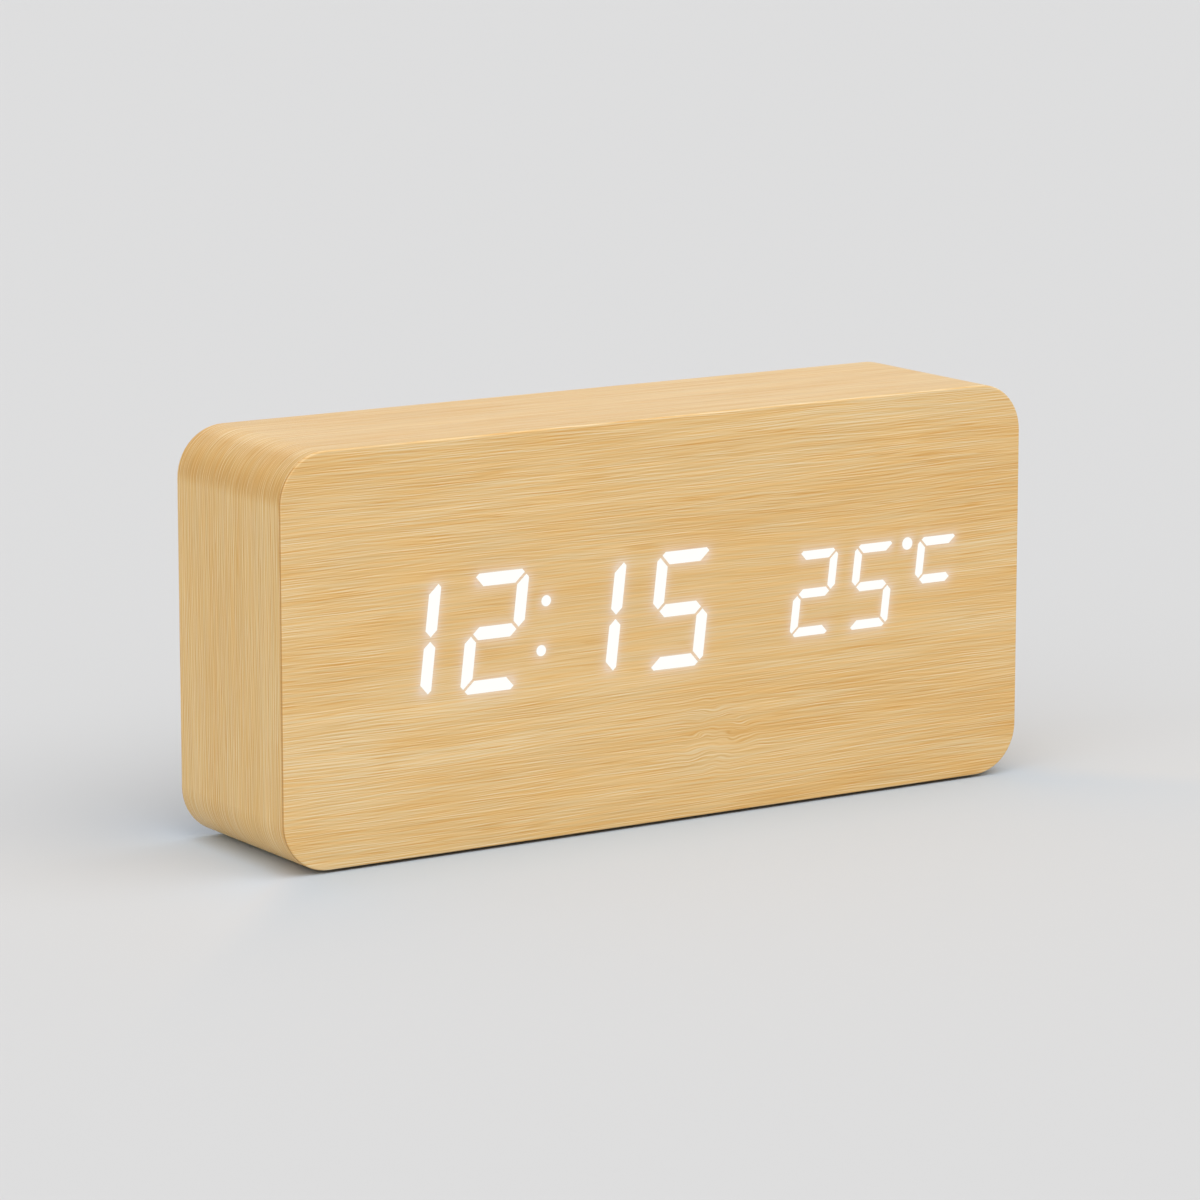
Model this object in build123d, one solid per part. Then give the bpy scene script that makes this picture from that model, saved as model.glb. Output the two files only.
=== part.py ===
from build123d import *
import math
import os

# Digital LED desk clock: a veneered wooden case with seven-segment figures that shine through
# its front, and a plastic rear cover that carries the buttons, the battery bay and the circuit.
# Lengths are millimetres. X runs to the right as seen from the front, Y from the front to the
# back, Z up. The origin lies on the table under the middle of the case.

# Case: fibreboard ring and front board under wood veneer
CASE_WIDTH = 150.0
CASE_HEIGHT = 70.0
CASE_DEPTH = 35.0
CORNER_RADIUS = 8.6
VENEER = 0.5
EDGE_BREAK = 0.3
SEAM_BREAK = 0.12
EDGE_LIMIT_SHARE = 0.8
SEAM_GAP = 0.2
FRONT_BOARD = 3.0
CASE_WALL = 5.0
CASE_INNER_RADIUS = 2.0
REBATE = 2.0
BLOCK = 9.0
BLOCK_LENGTH = 12.0
OVERRUN = 1.0

# Feet: thin rubber discs stuck under the case
FOOT_RADIUS = 5.0
FOOT_HEIGHT = 0.5
FOOT_FROM_END = 18.0
FOOT_FROM_FACE = 8.0

# Figures: the time in large strokes, the temperature in small ones
FIGURE_RISE = 1.66
SLANT = 6.85
TIP_TRIM_SHARE = 0.26
TIME_COLUMN = 9.23
TIME_ROW = 9.04
TIME_STROKE = 2.22
TIME_GAP = 0.5
COLON_RISE = 4.21
COLON_RADIUS = 0.95
TEMP_COLUMN = 6.98
TEMP_ROW = 6.68
TEMP_STROKE = 1.59
TEMP_GAP = 0.38
DEGREE_RADIUS = 1.1
DIAGONAL_SHARE = 0.7071

# Where the figures stand, as shares of the case width from its middle
HOUR_TENS_SHARE = -0.34263
HOUR_UNITS_SHARE = -0.22829
COLON_SHARE = -0.16402
MINUTE_TENS_SHARE = -0.09865
MINUTE_UNITS_SHARE = 0.01959
TEMP_TENS_SHARE = 0.20531
TEMP_UNITS_SHARE = 0.28667
DEGREE_SHARE = 0.33265
UNIT_SHARE = 0.37723

# Display module behind the front board
WINDOW_MARGIN = 1.0
WINDOW_RADIUS = 2.0
DIFFUSER = 0.3
NOSE_FIT = 0.2
REFLECTOR_DEPTH = 7.0
REFLECTOR_FLANGE = 3.4
DISPLAY_BOARD = 1.6
LED_SIDE = 1.0
LED_HEIGHT = 0.6
LED_CLEAR = 0.3
DISPLAY_SCREW_BITE = 2.4

# Rear cover, set in the rebate of the case ring
COVER_THICKNESS = 2.0
COVER_RECESS = 1.0
COVER_FIT = 0.2
COVER_EDGE = 0.3

# Batteries, their bay and its door
CELL_RADIUS = 5.25
CELL_LENGTH = 44.5
CELL_COUNT = 3
CELL_GAP = 0.5
CELL_NUB_RADIUS = 1.9
CELL_NUB_LENGTH = 0.8
CELL_EDGE = 0.5
BAY_CLEAR = 0.4
BAY_WALL = 1.5
BAY_GAP_SHARE = 0.32
SPRING_SPACE = 4.0
CONTACT = 0.4
CONTACT_SIDE = 8.0
SPRING_WIDTH = 5.0
SPRING_BEND = 1.0
SPRING_FOOT_SHARE = 0.75
TAB_WIDTH = 3.0
TAB_REACH = 0.8
TAB_FIT = 0.1
DOOR_THICKNESS = 1.8
DOOR_LEDGE = 1.6
DOOR_FIT = 0.25
DOOR_RIM = 1.2
PIN_RADIUS = 0.5
PIN_LENGTH = 1.2
PIN_FIT = 0.05
PIN_END_GAP = 0.2
LATCH_WIDTH = 8.0
LATCH_REACH = 0.8
LATCH_THICKNESS = 0.8
LATCH_FIT = 0.15
GRIP_COUNT = 3
GRIP_LENGTH = 16.0
GRIP_WIDTH = 0.8
GRIP_HEIGHT = 0.3
GRIP_PITCH = 1.8
GRIP_RISE = 5.0

# Buttons and the switches under them
BUTTON_LENGTH = 9.0
BUTTON_WIDTH = 5.0
BUTTON_PITCH = 14.0
BUTTON_RISE = 9.0
BUTTON_PROUD = 0.7
BUTTON_FIT = 0.2
BUTTON_EDGE = 0.4
BUTTON_FLANGE = 0.8
BUTTON_FLANGE_THICKNESS = 1.0
BUTTON_STOP_GAP = 0.05
ICON_SIZE = 1.9
ICON_HEIGHT = 0.15
SWITCH_SIDE = 6.0
SWITCH_HEIGHT = 3.5
SWITCH_LID = 0.5
SWITCH_FLOOR = 1.0
PLUNGER_RADIUS = 1.75
PLUNGER_RISE = 1.5
PLUNGER_FLANGE = 0.45
PLUNGER_FLANGE_THICKNESS = 0.8
PLUNGER_FIT = 0.1

# Main board on the bosses of the rear cover
BOARD_WIDTH = 52.0
BOARD_HEIGHT = 40.0
BOARD_THICKNESS = 1.6
BOARD_GAP_SHARE = 0.32
BOSS_RADIUS = 2.5
BOSS_INSET = 3.5
SCREW_RADIUS = 1.0
SCREW_HOLE_FIT = 0.15
SCREW_PILOT_FIT = 0.05
SCREW_HEAD_RADIUS = 1.8
SCREW_HEAD_HEIGHT = 1.3
BOARD_SCREW_BITE = 5.0
COVER_SCREW_RADIUS = 1.3
COVER_SCREW_LENGTH = 9.0
COVER_SCREW_HEAD_RADIUS = 2.4
COVER_SCREW_HEAD_HEIGHT = 1.4
DRIVE_LENGTH_SHARE = 1.2
DRIVE_WIDTH_SHARE = 0.32
DRIVE_DEPTH_SHARE = 0.6

# Power inlet
USB_WIDTH = 8.94
USB_HEIGHT = 3.26
USB_CORNER = 1.28
USB_SHELL = 0.3
USB_FLOOR = 1.5
USB_RECESS = 0.5
USB_FIT = 0.3
USB_TONGUE_WIDTH = 6.7
USB_TONGUE = 0.7
USB_TONGUE_RECESS = 0.9
USB_SHIFT = 13.0
USB_DROP = 11.0

# Parts on the rear side of the main board
BUZZER_RADIUS = 6.0
BUZZER_HEIGHT = 5.0
BUZZER_PORT_RADIUS = 1.0
BUZZER_SHIFT = 13.0
BUZZER_DROP = 8.0
SOUND_HOLE_RADIUS = 0.6
SOUND_HOLE_RING = 3.0
SOUND_HOLE_COUNT = 6
MICROPHONE_RADIUS = 3.0
MICROPHONE_HEIGHT = 4.5
MICROPHONE_PORT_RADIUS = 0.8
MICROPHONE_DROP = 11.0
BEAD_RADIUS = 1.3
BEAD_LEAD_RADIUS = 0.25
BEAD_LEAD_SPACING = 1.4
BEAD_RISE = 3.5
BEAD_SHIFT = 20.0
BEAD_DROP = 3.5
VENT_COUNT = 3
VENT_LENGTH = 7.0
VENT_WIDTH = 1.2
VENT_PITCH = 2.6

# Parts on the front side of the main board, and the chip behind the display
CONTROL_CHIP_LENGTH = 12.8
CONTROL_CHIP_PIN_COUNT = 10
CONTROL_CHIP_SHIFT = 12.0
CONTROL_CHIP_RISE = 8.0
DRIVER_CHIP_LENGTH = 18.0
DRIVER_CHIP_PIN_COUNT = 14
DRIVER_CHIP_SHIFT = -18.0
CHIP_WIDTH = 7.5
CHIP_HEIGHT = 2.3
CHIP_STANDOFF = 0.2
CHIP_PIN_WIDTH = 0.45
CHIP_PIN_REACH = 1.3
CHIP_PIN_RISE = 0.5
CRYSTAL_RADIUS = 1.0
CRYSTAL_LENGTH = 6.0
CRYSTAL_SHIFT = 12.0
CRYSTAL_DROP = 1.5
CAPACITOR_RADIUS = 3.0
CAPACITOR_HEIGHT = 7.0
CAPACITOR_EDGE = 0.6
CAPACITOR_SHIFT = 20.5
CAPACITOR_DROP = 7.0
COIN_RADIUS = 10.0
COIN_HEIGHT = 3.2
COIN_EDGE = 0.4
COIN_FIT = 0.2
COIN_SHIFT = 11.0
COIN_RISE = 3.0
HOLDER_WALL = 1.4
HOLDER_FLOOR = 0.9
HOLDER_RIM = 0.3
CLIP_WIDTH = 5.0
CLIP_THICKNESS = 0.4

# Ribbon cable between the two boards, and the battery wires
PLUG_LENGTH = 13.0
PLUG_WIDTH = 4.5
PLUG_HEIGHT = 3.5
PLUG_SHIFT = 3.0
PLUG_DROP = 14.0
RIBBON_WIDTH = 11.0
RIBBON_THICKNESS = 0.6
RIBBON_BOW = 5.0
RIBBON_LEAD_SHARE = 0.25
RIBBON_BEND_SHARE = 0.2
WIRE_RADIUS = 0.6
WIRE_BEND = 1.2
WIRE_CLEAR = 2.0
WIRE_FROM_EDGE = 3.0

# Depths worked out from the front face to the back
FRONT = -CASE_DEPTH / 2
REAR = CASE_DEPTH / 2
VENEER_BACK = FRONT + VENEER
BOARD_BACK = VENEER_BACK + FRONT_BOARD
DIFFUSER_BACK = VENEER_BACK + DIFFUSER
REFLECTOR_BACK = DIFFUSER_BACK + REFLECTOR_DEPTH
DISPLAY_BACK = REFLECTOR_BACK + DISPLAY_BOARD
COVER_FACE = REAR - COVER_RECESS
COVER_INNER = COVER_FACE - COVER_THICKNESS
FLANGE_REAR = COVER_INNER - BUTTON_STOP_GAP
PLUNGER_TOP = FLANGE_REAR - BUTTON_FLANGE_THICKNESS
BOARD_REAR = PLUNGER_TOP - PLUNGER_RISE - SWITCH_HEIGHT
BOARD_FRONT = BOARD_REAR - BOARD_THICKNESS
DOOR_INNER = COVER_FACE - DOOR_THICKNESS
BAY_FLOOR = DOOR_INNER - 2 * (CELL_RADIUS + BAY_CLEAR)
BAY_MIDDLE = (DOOR_INNER + BAY_FLOOR) / 2
BAY_FRONT = BAY_FLOOR - BAY_WALL

# Heights and widths worked out across the case
MIDDLE = FOOT_HEIGHT + CASE_HEIGHT / 2
FIGURE_MIDDLE = MIDDLE + FIGURE_RISE
RING_WIDTH = CASE_WIDTH - 2 * VENEER
RING_HEIGHT = CASE_HEIGHT - 2 * VENEER
RING_RADIUS = CORNER_RADIUS - VENEER
INNER_WIDTH = RING_WIDTH - 2 * CASE_WALL
INNER_HEIGHT = RING_HEIGHT - 2 * CASE_WALL
BLOCK_X = INNER_WIDTH / 2 - BLOCK / 2
BLOCK_Z = INNER_HEIGHT / 2 - BLOCK / 2
CORNERS = [(-1, -1), (1, -1), (-1, 1), (1, 1)]

# Battery bay and main board side by side, with the free width shared out left, between and right
CELL_PITCH = 2 * CELL_RADIUS + CELL_GAP
BAY_LENGTH = SPRING_SPACE + CELL_LENGTH + CONTACT
BAY_HEIGHT = (CELL_COUNT - 1) * CELL_PITCH + 2 * (CELL_RADIUS + BAY_CLEAR)
DOOR_WIDTH = BAY_LENGTH + 2 * DOOR_LEDGE
DOOR_HEIGHT = BAY_HEIGHT + 2 * DOOR_LEDGE
TUB_WIDTH = DOOR_WIDTH + 2 * (DOOR_FIT + DOOR_RIM)
TUB_HEIGHT = DOOR_HEIGHT + 2 * (DOOR_FIT + DOOR_RIM)
FREE_WIDTH = INNER_WIDTH - TUB_WIDTH - BOARD_WIDTH
BAY_X = -INNER_WIDTH / 2 + FREE_WIDTH * BAY_GAP_SHARE + TUB_WIDTH / 2
BAY_LEFT = BAY_X - BAY_LENGTH / 2
BAY_RIGHT = BAY_X + BAY_LENGTH / 2
HINGE_Y = COVER_FACE - DOOR_THICKNESS / 2
HINGE_Z = MIDDLE + DOOR_HEIGHT / 2 - DOOR_THICKNESS / 2
DOOR_BOTTOM = MIDDLE - DOOR_HEIGHT / 2
BOARD_LEFT = BAY_X + TUB_WIDTH / 2 + FREE_WIDTH * BOARD_GAP_SHARE
BOARD_X = BOARD_LEFT + BOARD_WIDTH / 2
BOSS_X = BOARD_WIDTH / 2 - BOSS_INSET
BOSS_Z = BOARD_HEIGHT / 2 - BOSS_INSET
BUTTON_Z = MIDDLE + BUTTON_RISE
BUTTON_PLACES = {"set": BOARD_X - BUTTON_PITCH, "up": BOARD_X, "down": BOARD_X + BUTTON_PITCH}
USB_PLACE = (BOARD_X + USB_SHIFT, MIDDLE - USB_DROP)
BUZZER_PLACE = (BOARD_X - BUZZER_SHIFT, MIDDLE - BUZZER_DROP)
MICROPHONE_PLACE = (BOARD_X, MIDDLE - MICROPHONE_DROP)
BEAD_PLACE = (BOARD_X + BEAD_SHIFT, MIDDLE - BEAD_DROP)
COIN_PLACE = (BOARD_X - COIN_SHIFT, MIDDLE + COIN_RISE)
PLUG_PLACE = (BOARD_X + PLUG_SHIFT, MIDDLE - PLUG_DROP)

# Figure places along the front
HOUR_TENS_X = CASE_WIDTH * HOUR_TENS_SHARE
HOUR_UNITS_X = CASE_WIDTH * HOUR_UNITS_SHARE
COLON_X = CASE_WIDTH * COLON_SHARE
MINUTE_TENS_X = CASE_WIDTH * MINUTE_TENS_SHARE
MINUTE_UNITS_X = CASE_WIDTH * MINUTE_UNITS_SHARE
TEMP_TENS_X = CASE_WIDTH * TEMP_TENS_SHARE
TEMP_UNITS_X = CASE_WIDTH * TEMP_UNITS_SHARE
DEGREE_X = CASE_WIDTH * DEGREE_SHARE
UNIT_X = CASE_WIDTH * UNIT_SHARE
SLOPE = math.tan(math.radians(SLANT))
LARGE = (TIME_COLUMN, TIME_ROW, TIME_STROKE, TIME_GAP)
SMALL = (TEMP_COLUMN, TEMP_ROW, TEMP_STROKE, TEMP_GAP)
ALL_STROKES = "abcdefg"
UNIT_STROKES = "aefg"

# The window in the front board spans all the figures
TIME_REACH = (TIME_COLUMN + TIME_STROKE) / 2 + SLOPE * (TIME_ROW + TIME_STROKE / 2)
TEMP_REACH = (TEMP_COLUMN + TEMP_STROKE) / 2 + SLOPE * (TEMP_ROW + TEMP_STROKE / 2)
WINDOW_LEFT = HOUR_TENS_X - TIME_REACH - WINDOW_MARGIN
WINDOW_RIGHT = UNIT_X + TEMP_REACH + WINDOW_MARGIN
WINDOW_WIDTH = WINDOW_RIGHT - WINDOW_LEFT
WINDOW_HEIGHT = 2 * TIME_ROW + TIME_STROKE + 2 * WINDOW_MARGIN
WINDOW_X = (WINDOW_LEFT + WINDOW_RIGHT) / 2
MODULE_WIDTH = WINDOW_WIDTH + 2 * REFLECTOR_FLANGE
MODULE_HEIGHT = WINDOW_HEIGHT + 2 * REFLECTOR_FLANGE
DISPLAY_SCREW_X = (WINDOW_WIDTH + REFLECTOR_FLANGE) / 2
DISPLAY_SCREW_Z = (WINDOW_HEIGHT + REFLECTOR_FLANGE) / 2
DISPLAY_SCREW_PLACES = [
    (WINDOW_X + column * DISPLAY_SCREW_X, FIGURE_MIDDLE + row * DISPLAY_SCREW_Z)
    for column in (-1, 0, 1)
    for row in (-1, 1)
]
BOSS_PLACES = [(BOARD_X + side * BOSS_X, MIDDLE + level * BOSS_Z) for side, level in CORNERS]
BLOCK_PLACES = [(side * BLOCK_X, MIDDLE + level * BLOCK_Z) for side, level in CORNERS]


# Shapes shared by several pieces

def slab(outline, front, rear):
    """Prism of an outline drawn in X and Z, from depth front to depth rear."""
    return extrude(Plane.XZ.offset(-rear) * outline, rear - front)


def panel(width, height, radius, x=0, z=MIDDLE):
    """Outline with rounded corners."""
    return Pos(x, z) * RectangleRounded(width, height, radius)


def oblong(width, height, x=0, z=MIDDLE):
    """Outline with square corners."""
    return Pos(x, z) * Rectangle(width, height)


def disc(radius, place):
    """Round outline."""
    return Pos(*place) * Circle(radius)


def rod(radius, place, front, rear):
    """Round bar along Y."""
    return slab(disc(radius, place), front, rear)


def front_edges(shape):
    """Edges of the foremost face of a shape."""
    return shape.edges().group_by(Axis.Y)[0]


def rear_edges(shape):
    """Edges of the rearmost face of a shape."""
    return shape.edges().group_by(Axis.Y)[-1]


def screw(place, seat, side, radius, length, head_radius, head_height, sunk=False):
    """Cross-drive screw along Y; side is 1 where its head looks back, -1 where it looks forward."""
    shank = Pos(0, 0, -length / 2) * Cylinder(radius, length)
    if sunk:
        head = Pos(0, 0, -head_height / 2) * Cone(radius, head_radius, head_height)
        top = 0
    else:
        head = Pos(0, 0, head_height / 2) * Cylinder(head_radius, head_height)
        top = head_height
    slot_length = head_radius * DRIVE_LENGTH_SHARE
    slot_width = head_radius * DRIVE_WIDTH_SHARE
    slot_depth = head_height * DRIVE_DEPTH_SHARE
    slot = Box(slot_length, slot_width, slot_depth) + Box(slot_width, slot_length, slot_depth)
    body = shank + head - Pos(0, 0, top - slot_depth / 2) * slot
    x, z = place
    return Pos(x, seat, z) * Rot(-90 * side, 0, 0) * body


def group(shapes):
    """Several separate solids kept in one node."""
    return Compound(children=[solid for shape in shapes for solid in shape.solids()])


# Seven-segment figures

def mirrored(points, across, upright):
    """Outline flipped left to right, top to bottom or both, turned to run the same way round."""
    flipped = [(x * across, z * upright) for x, z in points]
    return flipped if across * upright > 0 else flipped[::-1]


def stroke_outlines(style):
    """Upright outlines of the seven strokes of one figure, about its middle."""
    column, row, stroke, gap = style
    half = stroke / 2
    side = column / 2
    shift = gap * DIAGONAL_SHARE
    trim = stroke * TIP_TRIM_SHARE
    inner = side - half - shift
    outer = side + half - shift
    top = [
        (-inner, row - half),
        (inner, row - half),
        (outer - trim, row + half - trim),
        (outer - 2 * trim, row + half),
        (-outer + 2 * trim, row + half),
        (-outer + trim, row + half - trim),
    ]
    right = [
        (side, shift),
        (side + half, half + shift),
        (side + half, row + half - shift - 2 * trim),
        (side + half - trim, row + half - shift - trim),
        (side - half, row - half - shift),
        (side - half, half + shift),
    ]
    tip = side - shift
    bar = [
        (tip, 0),
        (tip - half, half),
        (half - tip, half),
        (-tip, 0),
        (half - tip, -half),
        (tip - half, -half),
    ]
    return {
        "a": top,
        "b": right,
        "c": mirrored(right, 1, -1),
        "d": mirrored(top, 1, -1),
        "e": mirrored(right, -1, -1),
        "f": mirrored(right, -1, 1),
        "g": bar,
    }


def figure(strokes, style, x):
    """Slanted outlines of some strokes of the figure that stands at x."""
    outlines = stroke_outlines(style)
    return [
        Polygon(*[(x + u + SLOPE * v, FIGURE_MIDDLE + v) for u, v in outlines[name]])
        for name in strokes
    ]


def dot(x, rise, radius):
    """Round dot that leans with the figures."""
    return disc(radius, (x + SLOPE * rise, FIGURE_MIDDLE + rise))


def colon():
    return [dot(COLON_X, level * COLON_RISE, COLON_RADIUS) for level in (-1, 1)]


def degree_dot():
    return [dot(DEGREE_X, TEMP_ROW, DEGREE_RADIUS)]


def lit_outlines():
    """What shines in each place of the display: 12:15 and 25 degrees."""
    return {
        "lit_hour_tens": figure("bc", LARGE, HOUR_TENS_X),
        "lit_hour_units": figure("abged", LARGE, HOUR_UNITS_X),
        "lit_colon": colon(),
        "lit_minute_tens": figure("bc", LARGE, MINUTE_TENS_X),
        "lit_minute_units": figure("afgcd", LARGE, MINUTE_UNITS_X),
        "lit_temperature_tens": figure("abged", SMALL, TEMP_TENS_X),
        "lit_temperature_units": figure("afgcd", SMALL, TEMP_UNITS_X),
        "lit_degree_mark": degree_dot() + figure("afg", SMALL, UNIT_X),
    }


def all_outlines():
    """Every stroke and dot of the display, lit or not."""
    large = [HOUR_TENS_X, HOUR_UNITS_X, MINUTE_TENS_X, MINUTE_UNITS_X]
    outlines = colon() + degree_dot() + figure(UNIT_STROKES, SMALL, UNIT_X)
    for x in large:
        outlines += figure(ALL_STROKES, LARGE, x)
    for x in (TEMP_TENS_X, TEMP_UNITS_X):
        outlines += figure(ALL_STROKES, SMALL, x)
    return outlines


# Case

def ring_opening():
    return panel(INNER_WIDTH, INNER_HEIGHT, CASE_INNER_RADIUS)


def front_veneer():
    sheet = slab(panel(CASE_WIDTH, CASE_HEIGHT, CORNER_RADIUS), FRONT, VENEER_BACK)
    sheet = fillet(front_edges(sheet), min(EDGE_BREAK, VENEER * EDGE_LIMIT_SHARE))
    lit = [outline for outlines in lit_outlines().values() for outline in outlines]
    return sheet - [slab(outline, FRONT - OVERRUN, VENEER_BACK + OVERRUN) for outline in lit]


def wrap_veneer():
    strip = slab(panel(CASE_WIDTH, CASE_HEIGHT, CORNER_RADIUS), VENEER_BACK, REAR)
    strip = fillet(rear_edges(strip), min(EDGE_BREAK, VENEER * EDGE_LIMIT_SHARE))
    strip = chamfer(front_edges(strip), min(SEAM_BREAK, VENEER * EDGE_LIMIT_SHARE))
    core = slab(panel(RING_WIDTH, RING_HEIGHT, RING_RADIUS), VENEER_BACK - OVERRUN, REAR + OVERRUN)
    seam_height = 2 * (VENEER + OVERRUN)
    seam = slab(oblong(SEAM_GAP, seam_height, 0, FOOT_HEIGHT), VENEER_BACK - OVERRUN, REAR + OVERRUN)
    return strip - core - seam


def front_board():
    board = slab(panel(RING_WIDTH, RING_HEIGHT, RING_RADIUS), VENEER_BACK, BOARD_BACK)
    window = panel(WINDOW_WIDTH, WINDOW_HEIGHT, WINDOW_RADIUS, WINDOW_X, FIGURE_MIDDLE)
    pilot = SCREW_RADIUS + SCREW_PILOT_FIT
    depth = BOARD_BACK - DISPLAY_SCREW_BITE - SCREW_PILOT_FIT
    pilots = [rod(pilot, place, depth, BOARD_BACK + OVERRUN) for place in DISPLAY_SCREW_PLACES]
    return board - slab(window, VENEER_BACK - OVERRUN, BOARD_BACK + OVERRUN) - pilots


def case_ring():
    ring = slab(panel(RING_WIDTH, RING_HEIGHT, RING_RADIUS), BOARD_BACK, REAR)
    rebate = panel(INNER_WIDTH + 2 * REBATE, INNER_HEIGHT + 2 * REBATE, CASE_INNER_RADIUS + REBATE)
    ring -= slab(ring_opening(), BOARD_BACK - OVERRUN, REAR + OVERRUN)
    return ring - slab(rebate, COVER_INNER, REAR + OVERRUN)


def corner_blocks():
    front = COVER_INNER - BLOCK_LENGTH
    opening = slab(ring_opening(), front - OVERRUN, COVER_INNER + OVERRUN)
    pilot = COVER_SCREW_RADIUS + SCREW_PILOT_FIT
    blocks = []
    for x, z in BLOCK_PLACES:
        block = slab(oblong(BLOCK, BLOCK, x, z), front, COVER_INNER) & opening
        depth = COVER_FACE - COVER_SCREW_LENGTH - SCREW_PILOT_FIT
        blocks.append(block - rod(pilot, (x, z), depth, COVER_INNER + OVERRUN))
    return group(blocks)


def rubber_feet():
    across = CASE_WIDTH / 2 - FOOT_FROM_END
    along = CASE_DEPTH / 2 - FOOT_FROM_FACE
    foot = Pos(0, 0, FOOT_HEIGHT / 2) * Cylinder(FOOT_RADIUS, FOOT_HEIGHT)
    return group([Pos(side * across, level * along, 0) * foot for side, level in CORNERS])


# Display module

def lit_figure(outlines):
    return group([slab(outline, FRONT, VENEER_BACK) for outline in outlines])


def nose_outline():
    return panel(WINDOW_WIDTH - 2 * NOSE_FIT, WINDOW_HEIGHT - 2 * NOSE_FIT, WINDOW_RADIUS - NOSE_FIT,
                 WINDOW_X, FIGURE_MIDDLE)


def module_outline():
    return panel(MODULE_WIDTH, MODULE_HEIGHT, WINDOW_RADIUS, WINDOW_X, FIGURE_MIDDLE)


def display_screw_holes():
    hole = SCREW_RADIUS + SCREW_HOLE_FIT
    return [rod(hole, place, BOARD_BACK - OVERRUN, DISPLAY_BACK + OVERRUN)
            for place in DISPLAY_SCREW_PLACES]


def diffuser_film():
    return slab(nose_outline(), VENEER_BACK, DIFFUSER_BACK)


def segment_reflector():
    body = slab(nose_outline(), DIFFUSER_BACK, REFLECTOR_BACK)
    body += slab(module_outline(), BOARD_BACK, REFLECTOR_BACK)
    body -= [slab(outline, DIFFUSER_BACK - OVERRUN, REFLECTOR_BACK + OVERRUN)
             for outline in all_outlines()]
    return body - display_screw_holes()


def segment_light_guides():
    rear = REFLECTOR_BACK - LED_HEIGHT - LED_CLEAR
    return group([slab(outline, DIFFUSER_BACK, rear) for outline in all_outlines()])


def led_chips():
    chips = []
    for outline in all_outlines():
        middle = outline.center()
        chip = oblong(LED_SIDE, LED_SIDE, middle.X, middle.Y)
        chips.append(slab(chip, REFLECTOR_BACK - LED_HEIGHT, REFLECTOR_BACK))
    return group(chips)


def display_board():
    return slab(module_outline(), REFLECTOR_BACK, DISPLAY_BACK) - display_screw_holes()


def display_screws():
    length = DISPLAY_BACK - BOARD_BACK + DISPLAY_SCREW_BITE
    return group([
        screw(place, DISPLAY_BACK, 1, SCREW_RADIUS, length, SCREW_HEAD_RADIUS, SCREW_HEAD_HEIGHT)
        for place in DISPLAY_SCREW_PLACES
    ])


def chip(length, pins):
    """Chip with two rows of legs, lying on the plane of its board and standing up along Z."""
    body = Pos(0, 0, CHIP_STANDOFF + CHIP_HEIGHT / 2) * Box(length, CHIP_WIDTH, CHIP_HEIGHT)
    leg_height = CHIP_STANDOFF + CHIP_PIN_RISE
    leg = Pos(0, 0, leg_height / 2) * Box(CHIP_PIN_WIDTH, CHIP_PIN_REACH, leg_height)
    pitch = length / pins
    row = (CHIP_WIDTH + CHIP_PIN_REACH) / 2
    legs = [Pos((index - (pins - 1) / 2) * pitch, side * row, 0) * leg
            for index in range(pins) for side in (-1, 1)]
    return body + legs


def display_driver_chip():
    standing = Rot(-90, 0, 0) * chip(DRIVER_CHIP_LENGTH, DRIVER_CHIP_PIN_COUNT)
    return Pos(DRIVER_CHIP_SHIFT, DISPLAY_BACK, FIGURE_MIDDLE) * standing


# Rear cover

def cover_holes():
    """Openings for the buttons, the power inlet, sound, air and the cover's screws."""
    front = COVER_INNER - OVERRUN
    rear = COVER_FACE + OVERRUN
    holes = [slab(button_outline(x, BUTTON_FIT), front, rear) for x in BUTTON_PLACES.values()]
    holes.append(slab(usb_outline(USB_FIT), front, rear))
    holes.append(rod(MICROPHONE_PORT_RADIUS, MICROPHONE_PLACE, front, rear))
    x, z = BUZZER_PLACE
    holes.append(rod(SOUND_HOLE_RADIUS, BUZZER_PLACE, front, rear))
    for index in range(SOUND_HOLE_COUNT):
        turn = 2 * math.pi * index / SOUND_HOLE_COUNT
        place = (x + SOUND_HOLE_RING * math.cos(turn), z + SOUND_HOLE_RING * math.sin(turn))
        holes.append(rod(SOUND_HOLE_RADIUS, place, front, rear))
    x, z = BEAD_PLACE
    for index in range(VENT_COUNT):
        height = z + (index - (VENT_COUNT - 1) / 2) * VENT_PITCH
        holes.append(slab(Pos(x, height) * SlotOverall(VENT_LENGTH, VENT_WIDTH), front, rear))
    clear = COVER_SCREW_RADIUS + SCREW_HOLE_FIT
    sink = COVER_SCREW_HEAD_RADIUS + SCREW_HOLE_FIT
    for x, z in BLOCK_PLACES:
        holes.append(rod(clear, (x, z), front, rear))
        cone = Pos(0, 0, -COVER_SCREW_HEAD_HEIGHT / 2) * Cone(clear, sink, COVER_SCREW_HEAD_HEIGHT)
        holes.append(Pos(x, COVER_FACE, z) * Rot(-90, 0, 0) * cone)
    return holes


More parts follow.
